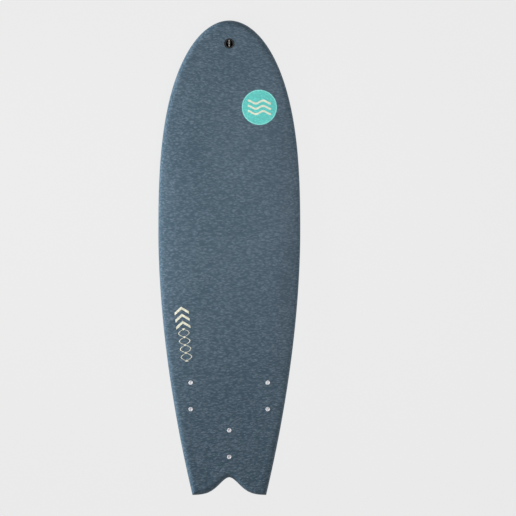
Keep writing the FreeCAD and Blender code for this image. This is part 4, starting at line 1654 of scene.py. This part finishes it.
@dataclass(frozen=True)
class Crinkle:
    """Embossed relief of the deck foam: smooth lattice noise, longer across the board than along it."""

    depth: float = 0.0007
    cell_x: float = 0.0150
    cell_y: float = 0.0085
    sway: float = 0.35
    sway_along: float = 0.09
    sway_across: float = 0.07
    fine_shrink: float = 0.55
    broad_share: float = 0.7
    lattice_side: int = 512
    seed: int = 11

    def layer(self, x: Array, y: Array, shrink: float, seed: int) -> Array:
        """Lattice noise between 0 and 1: random corner values blended by a smoothstep in each cell.

        Args:
            x: places across the board.
            y: places along the board.
            shrink: size of the cells against the broad ones.
            seed: seed of the lattice.

        Returns:
            The noise at each place.
        """
        side = self.lattice_side
        lattice = np.random.default_rng(seed).random((side, side))
        across = x / (self.cell_x * shrink) + self.sway * np.sin(y * 2 * math.pi / self.sway_along) + side / 2
        along = y / (self.cell_y * shrink) + self.sway * np.sin(x * 2 * math.pi / self.sway_across) + side / 2
        column = np.floor(across).astype(int) % (side - 1)
        row = np.floor(along).astype(int) % (side - 1)
        u, v = across - np.floor(across), along - np.floor(along)
        u, v = u * u * (3 - 2 * u), v * v * (3 - 2 * v)
        near = lattice[row, column] * (1 - u) + lattice[row, column + 1] * u
        far = lattice[row + 1, column] * (1 - u) + lattice[row + 1, column + 1] * u
        return near * (1 - v) + far * v

    def dip(self, x: Array, y: Array) -> Array:
        """How far the surface lies below the smooth deck.

        Args:
            x: places across the board.
            y: places along the board.

        Returns:
            The depth at each place.
        """
        broad = self.layer(x, y, 1.0, self.seed)
        fine = self.layer(x, y, self.fine_shrink, self.seed + 1)
        return self.depth * (1 - self.broad_share * broad - (1 - self.broad_share) * fine)


@dataclass
class Skins:
    """The foam skin round the deck and rails, and the slick sheet under the bottom."""

    loop: PlanLoop
    top_radius: float = 0.018
    bottom_radius: float = 0.0045
    skin: float = 0.005
    wrap: float = 0.007
    core_radius: float = 0.013
    slick: float = 0.0012
    deck_rows: int = 58
    relief: Crinkle = Crinkle()

    def rail_arc(self, radius: float, wall: float, drop: float, count: int) -> list[Array]:
        """Rows that roll from an upright wall into the deck.

        The arc's centre lies one radius inside the wall and one radius under the deck, measured square to
        the deck's slope there, so the arc runs into the deck without a kink.

        Args:
            radius: radius of the roll.
            wall: how far the wall lies inside the outline.
            drop: how far the surface lies under the deck.
            count: how many rows the arc gets.

        Returns:
            The rows, from the wall upwards.
        """
        hull = self.loop.hull
        step = 0.001
        centre = self.loop.ring(wall + radius)
        ahead = self.loop.ring(wall + radius + step)
        behind = self.loop.ring(wall + radius - step)
        rise = (hull.deck(ahead[:, 0], ahead[:, 1]) - hull.deck(behind[:, 0], behind[:, 1])) / (2 * step)
        slope = np.arctan(rise)
        middle = hull.deck(centre[:, 0], centre[:, 1]) - drop - radius / np.cos(slope)
        rows = []
        for share in np.linspace(0, 1, count):
            angle = share * (math.pi / 2 - slope)
            plan = self.loop.ring(wall + radius - radius * np.cos(angle))
            rows.append(self.loop.solid(plan, middle + radius * np.sin(angle)))
        return rows

    def deck_row(self, plan: Array, drop: Array | float) -> Array:
        """Row that lies on the deck, or under it."""
        return self.loop.solid(plan, self.loop.hull.deck(plan[:, 0], plan[:, 1]) - drop)

    def bottom_row(self, inset: float, lift: float) -> Array:
        """Row at an inset from the outline, at a lift above the bottom."""
        plan = self.loop.ring(inset)
        return self.loop.solid(plan, self.loop.hull.bottom(plan[:, 1]) + lift)

    def foam(self) -> Patch:
        """Closed foam skin: inner face, rim on the bottom, tuck, side, roll-over and deck.

        Returns:
            The closed surface.
        """
        inner = [self.deck_row(self.loop.inner(share), self.skin) for share in np.linspace(1, 0, 7)]
        inner += self.rail_arc(self.core_radius, self.wrap, self.skin, 6)[::-1]
        rows = inner + [self.bottom_row(self.wrap, self.slick), self.bottom_row(self.wrap, 0.0)]
        radius = self.bottom_radius
        for angle in np.linspace(0, math.pi / 2, 6):
            rows.append(self.bottom_row(radius - radius * math.sin(angle), radius - radius * math.cos(angle)))
        roll = self.rail_arc(self.top_radius, 0.0, 0.0, 12)
        foot = rows[-1]
        rows += [foot * (1 - share) + roll[0] * share for share in (0.33, 0.67)]
        rows += roll
        start = roll[-1][:, :2]
        ring = self.loop.inner(0.0)
        rows.append(self.deck_row((start + ring) / 2, 0.0))
        for step, share in enumerate(np.linspace(0, 1, self.deck_rows)):
            plan = self.loop.inner(share)
            fade = min(1.0, step / 3)
            rows.append(self.deck_row(plan, fade * self.relief.dip(plan[:, 0], plan[:, 1])))
        return Patch.rings(rows)

    def sheet(self) -> Patch:
        """Closed slick sheet: upper face, edge and the smooth lower face.

        Returns:
            The closed surface.
        """
        hull = self.loop.hull
        rows = []
        for lift, shares in ((self.slick, np.linspace(1, 0, 10)), (0.0, np.linspace(0, 1, 30))):
            for share in shares:
                plan = self.loop.inner(share, self.wrap)
                rows.append(self.loop.solid(plan, hull.bottom(plan[:, 1]) + lift))
        return Patch.rings(rows)

    def build(self, bolts: Bolts, plug: LeashPlug, grip: GripRecess, foam: object, slick: object) -> None:
        """Both skins with their openings cut.

        Args:
            bolts: the fin bolts.
            plug: the leash plug.
            grip: the grip recess.
            foam: the deck's finish.
            slick: the bottom's finish.
        """
        deck = make_mesh("deck_foam_skin", [self.foam()])
        cut_with(deck, make_mesh("deck_cutters", bolts.cutters(True) + [plug.cutter()]))
        finish_piece(deck, foam, "deck_foam", Shading.CRISP, "deck_skin")
        sheet = make_mesh("bottom_slick_sheet", [self.sheet()])
        cut_with(sheet, make_mesh("bottom_cutters", bolts.cutters(False) + [grip.cutter()]))
        finish_piece(sheet, slick, "slick", Shading.CRISP, "bottom_slick")


# ------------------------------------------------------------------------------------ studio


@dataclass(frozen=True)
class Lamp:
    """One square soft light."""

    name: str
    place: tuple
    size: float
    watts: float


@dataclass
class Studio:
    """Pale floor that the board lies on, soft lights and a camera square to the deck."""

    hull: HullCurves
    field: float = 1.8792
    side_shift: float = 0.1045
    along_shift: float = -0.0004
    distance: float = 40.0
    sensor: float = 0.036
    floor_reach: float = 30.0
    floor_gap: float = 0.0005
    tip_ahead: float = 0.012
    paper: tuple = ((0.045, 0.045, 0.045, 1), (0.055, 0.055, 0.055, 1))
    paper_glow: float = 0.80
    air_glow: float = 0.30
    aim_height: float = 0.06
    rail_lamp: Lamp = Lamp("rail_softbox", (-6.0, 0.30, 0.37), 1.75, 800.0)
    open_lamps: tuple = (
        Lamp("key_softbox", (-1.3, 0.18, 1.05), 0.5, 8.0),
        Lamp("top_softbox", (0.28, 0.20, 1.22), 0.7, 5.5),
    )

    def floor(self) -> bpy.types.Object:
        """Floor that touches the belly and the side fins' tips, seen from above only.

        Returns:
            The floor's object.
        """
        low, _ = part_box("fin_port")
        tip_y = low.y + self.tip_ahead
        y = np.linspace(0.05, self.hull.length / 2, 400)
        slope = float(np.min((self.hull.bottom(y) - low.z) / (y - tip_y)))
        far = self.floor_reach
        corners = np.array([(-far, -far), (far, -far), (far, far), (-far, far)])
        heights = low.z + slope * (corners[:, 1] - tip_y) - self.floor_gap
        mesh = bpy.data.meshes.new("studio_floor")
        mesh.from_pydata(np.column_stack([corners, heights]).tolist(), [], [(0, 1, 2, 3)])
        floor = bpy.data.objects.new("studio_floor", mesh)
        bpy.context.scene.collection.objects.link(floor)
        mesh.materials.append(self.floor_paper())
        return floor

    def floor_paper(self) -> bpy.types.Material:
        """Pale paper that is clear when it is looked at from below.

        Returns:
            The material.
        """
        material, graph, shader = start_material("studio_paper")
        tooth = graph.noise(graph.position(), 400.0, 2.0, 0.5)
        graph.join(graph.mix(tooth, *self.paper), shader.inputs["Base Color"])
        shader.inputs["Roughness"].default_value = 0.9
        shader.inputs["Specular IOR Level"].default_value = 0.0
        shader.inputs["Emission Color"].default_value = (1, 1, 1, 1)
        shader.inputs["Emission Strength"].default_value = self.paper_glow
        clear = graph.node("ShaderNodeBsdfTransparent")
        choice = graph.node("ShaderNodeMixShader")
        back = graph.node("ShaderNodeNewGeometry").outputs["Backfacing"]
        graph.join(back, choice.inputs[0])
        graph.join(shader.outputs[0], choice.inputs[1])
        graph.join(clear.outputs[0], choice.inputs[2])
        graph.join(choice.outputs[0], material.node_tree.nodes["Material Output"].inputs["Surface"])
        return material

    def spare(self, lamp: bpy.types.Object, floor: bpy.types.Object) -> None:
        """Keep a lamp's light off the floor, and its mirror image off the deck.

        Args:
            lamp: the lamp.
            floor: the floor.
        """
        spared = bpy.data.collections.new("lit_by_other_lamps")
        spared.objects.link(floor)
        spared.collection_objects[0].light_linking.link_state = "EXCLUDE"
        lamp.light_linking.receiver_collection = spared
        lamp.visible_glossy = False

    def hang(self, made: Lamp) -> bpy.types.Object:
        """Set up a lamp so that it faces the board's centreline.

        Args:
            made: the lamp's values.

        Returns:
            The lamp's object.
        """
        light = bpy.data.lights.new(made.name, "AREA")
        light.size = made.size
        light.energy = made.watts
        lamp = bpy.data.objects.new(made.name, light)
        lamp.location = made.place
        aim = Vector((0.0, made.place[1], self.aim_height)) - Vector(made.place)
        lamp.rotation_euler = aim.to_track_quat("-Z", "Y").to_euler()
        lamp.visible_camera = False
        bpy.context.scene.collection.objects.link(lamp)
        return lamp

    def build(self) -> None:
        """Floor, surroundings, lights and camera."""
        floor = self.floor()
        world = bpy.data.worlds.new("studio_air")
        world.use_nodes = True
        world.node_tree.nodes["Background"].inputs["Color"].default_value = (1, 1, 1, 1)
        world.node_tree.nodes["Background"].inputs["Strength"].default_value = self.air_glow
        bpy.context.scene.world = world
        self.spare(self.hang(self.rail_lamp), floor)
        for lamp in self.open_lamps:
            self.hang(lamp)
        camera = bpy.data.cameras.new("camera")
        camera.sensor_width = self.sensor * 1000
        camera.lens = self.sensor * 1000 * self.distance / self.field
        camera.clip_end = 100.0
        holder = bpy.data.objects.new("camera", camera)
        deck = float(self.hull.deck(np.array(0.0), np.array(0.0)))
        holder.location = (self.side_shift, self.along_shift, deck + self.distance)
        bpy.context.scene.collection.objects.link(holder)
        bpy.context.scene.camera = holder
        bpy.context.scene.view_settings.view_transform = "Standard"


# ------------------------------------------------------------------------------------ the board


def dress_inner_nodes(nodes: dict, finishes: dict[str, bpy.types.Material]) -> None:
    """Give every CAD node that stays its finish, by the start of its name.

    Args:
        nodes: CAD nodes by name.
        finishes: the start of a name to its material.
    """
    for name, piece in nodes.items():
        for start, material in finishes.items():
            if name.startswith(start):
                piece.data.materials.clear()
                piece.data.materials.append(material)
                log.info("%s keeps its CAD shape, with %s", name, material.name)


def main() -> None:
    """Build the board in order, dress it and set up the studio."""
    logging.basicConfig(level=logging.INFO, format="%(name)s: %(message)s")
    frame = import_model()
    groups = {"grain": grain_group(), "roundel": roundel_group()}
    inks = Inks()
    foam = DeckFoam(groups, inks).build()
    slick = SlickSheet(groups, inks).build()
    nylon = Moulding("screw_nylon", groups, (0.76, 0.76, 0.80, 1), (0.88, 0.88, 0.92, 1))
    milky = Moulding("milky_plastic", groups, (0.74, 0.77, 0.78, 1), (0.84, 0.86, 0.86, 1),
                     (0.26, 0.36), Grip.POLISHED, glow_depth=0.006)
    black = Moulding("black_plug", groups, (0.006, 0.006, 0.007, 1), (0.012, 0.012, 0.014, 1),
                     (0.24, 0.36), gloss=0.20)
    grip_dark = Moulding("grip_rubber", groups, (0.085, 0.080, 0.088, 1), (0.135, 0.128, 0.138, 1),
                         (0.55, 0.75), Grip.TEXTURED, 420.0)
    white = Moulding("ferrule_plastic", groups, (0.62, 0.62, 0.60, 1), (0.76, 0.76, 0.74, 1))
    rubber = Moulding("washer_rubber", groups, (0.020, 0.020, 0.020, 1), (0.04, 0.04, 0.04, 1), (0.6, 0.8))
    brass = Moulding("insert_brass", groups, (0.55, 0.38, 0.14, 1), (0.78, 0.57, 0.24, 1),
                     (0.22, 0.40), metal=1.0)
    nylon, milky, black, grip_dark, white, rubber, brass = (
        finish.build() for finish in (nylon, milky, black, grip_dark, white, rubber, brass)
    )
    scrim = GlassScrim().build()

    hull = HullCurves.from_frame()
    bolts = Bolts(hull)
    plug = LeashPlug(hull)
    grip = GripRecess(hull)
    Skins(PlanLoop(hull)).build(bolts, plug, grip, foam, slick)
    plug.build(black, BrushedBar().build())
    grip.build(grip_dark)
    for side in ("port", "starboard", "centre"):
        Fin(bolts, side).build(milky)
        bolts.build(side, nylon)
    dress_inner_nodes(frame["nodes"], {
        "core_": BeadFoam().build(),
        "stringer_": StringerWood().build(),
        "deck_laminate": scrim,
        "bottom_laminate": scrim,
        "fin_washers": rubber,
        "fin_deck_ferrules": white,
        "fin_bottom_ferrules": white,
        "fin_inserts": brass,
    })
    Studio(hull).build()


if __name__ == "__main__":
    main()
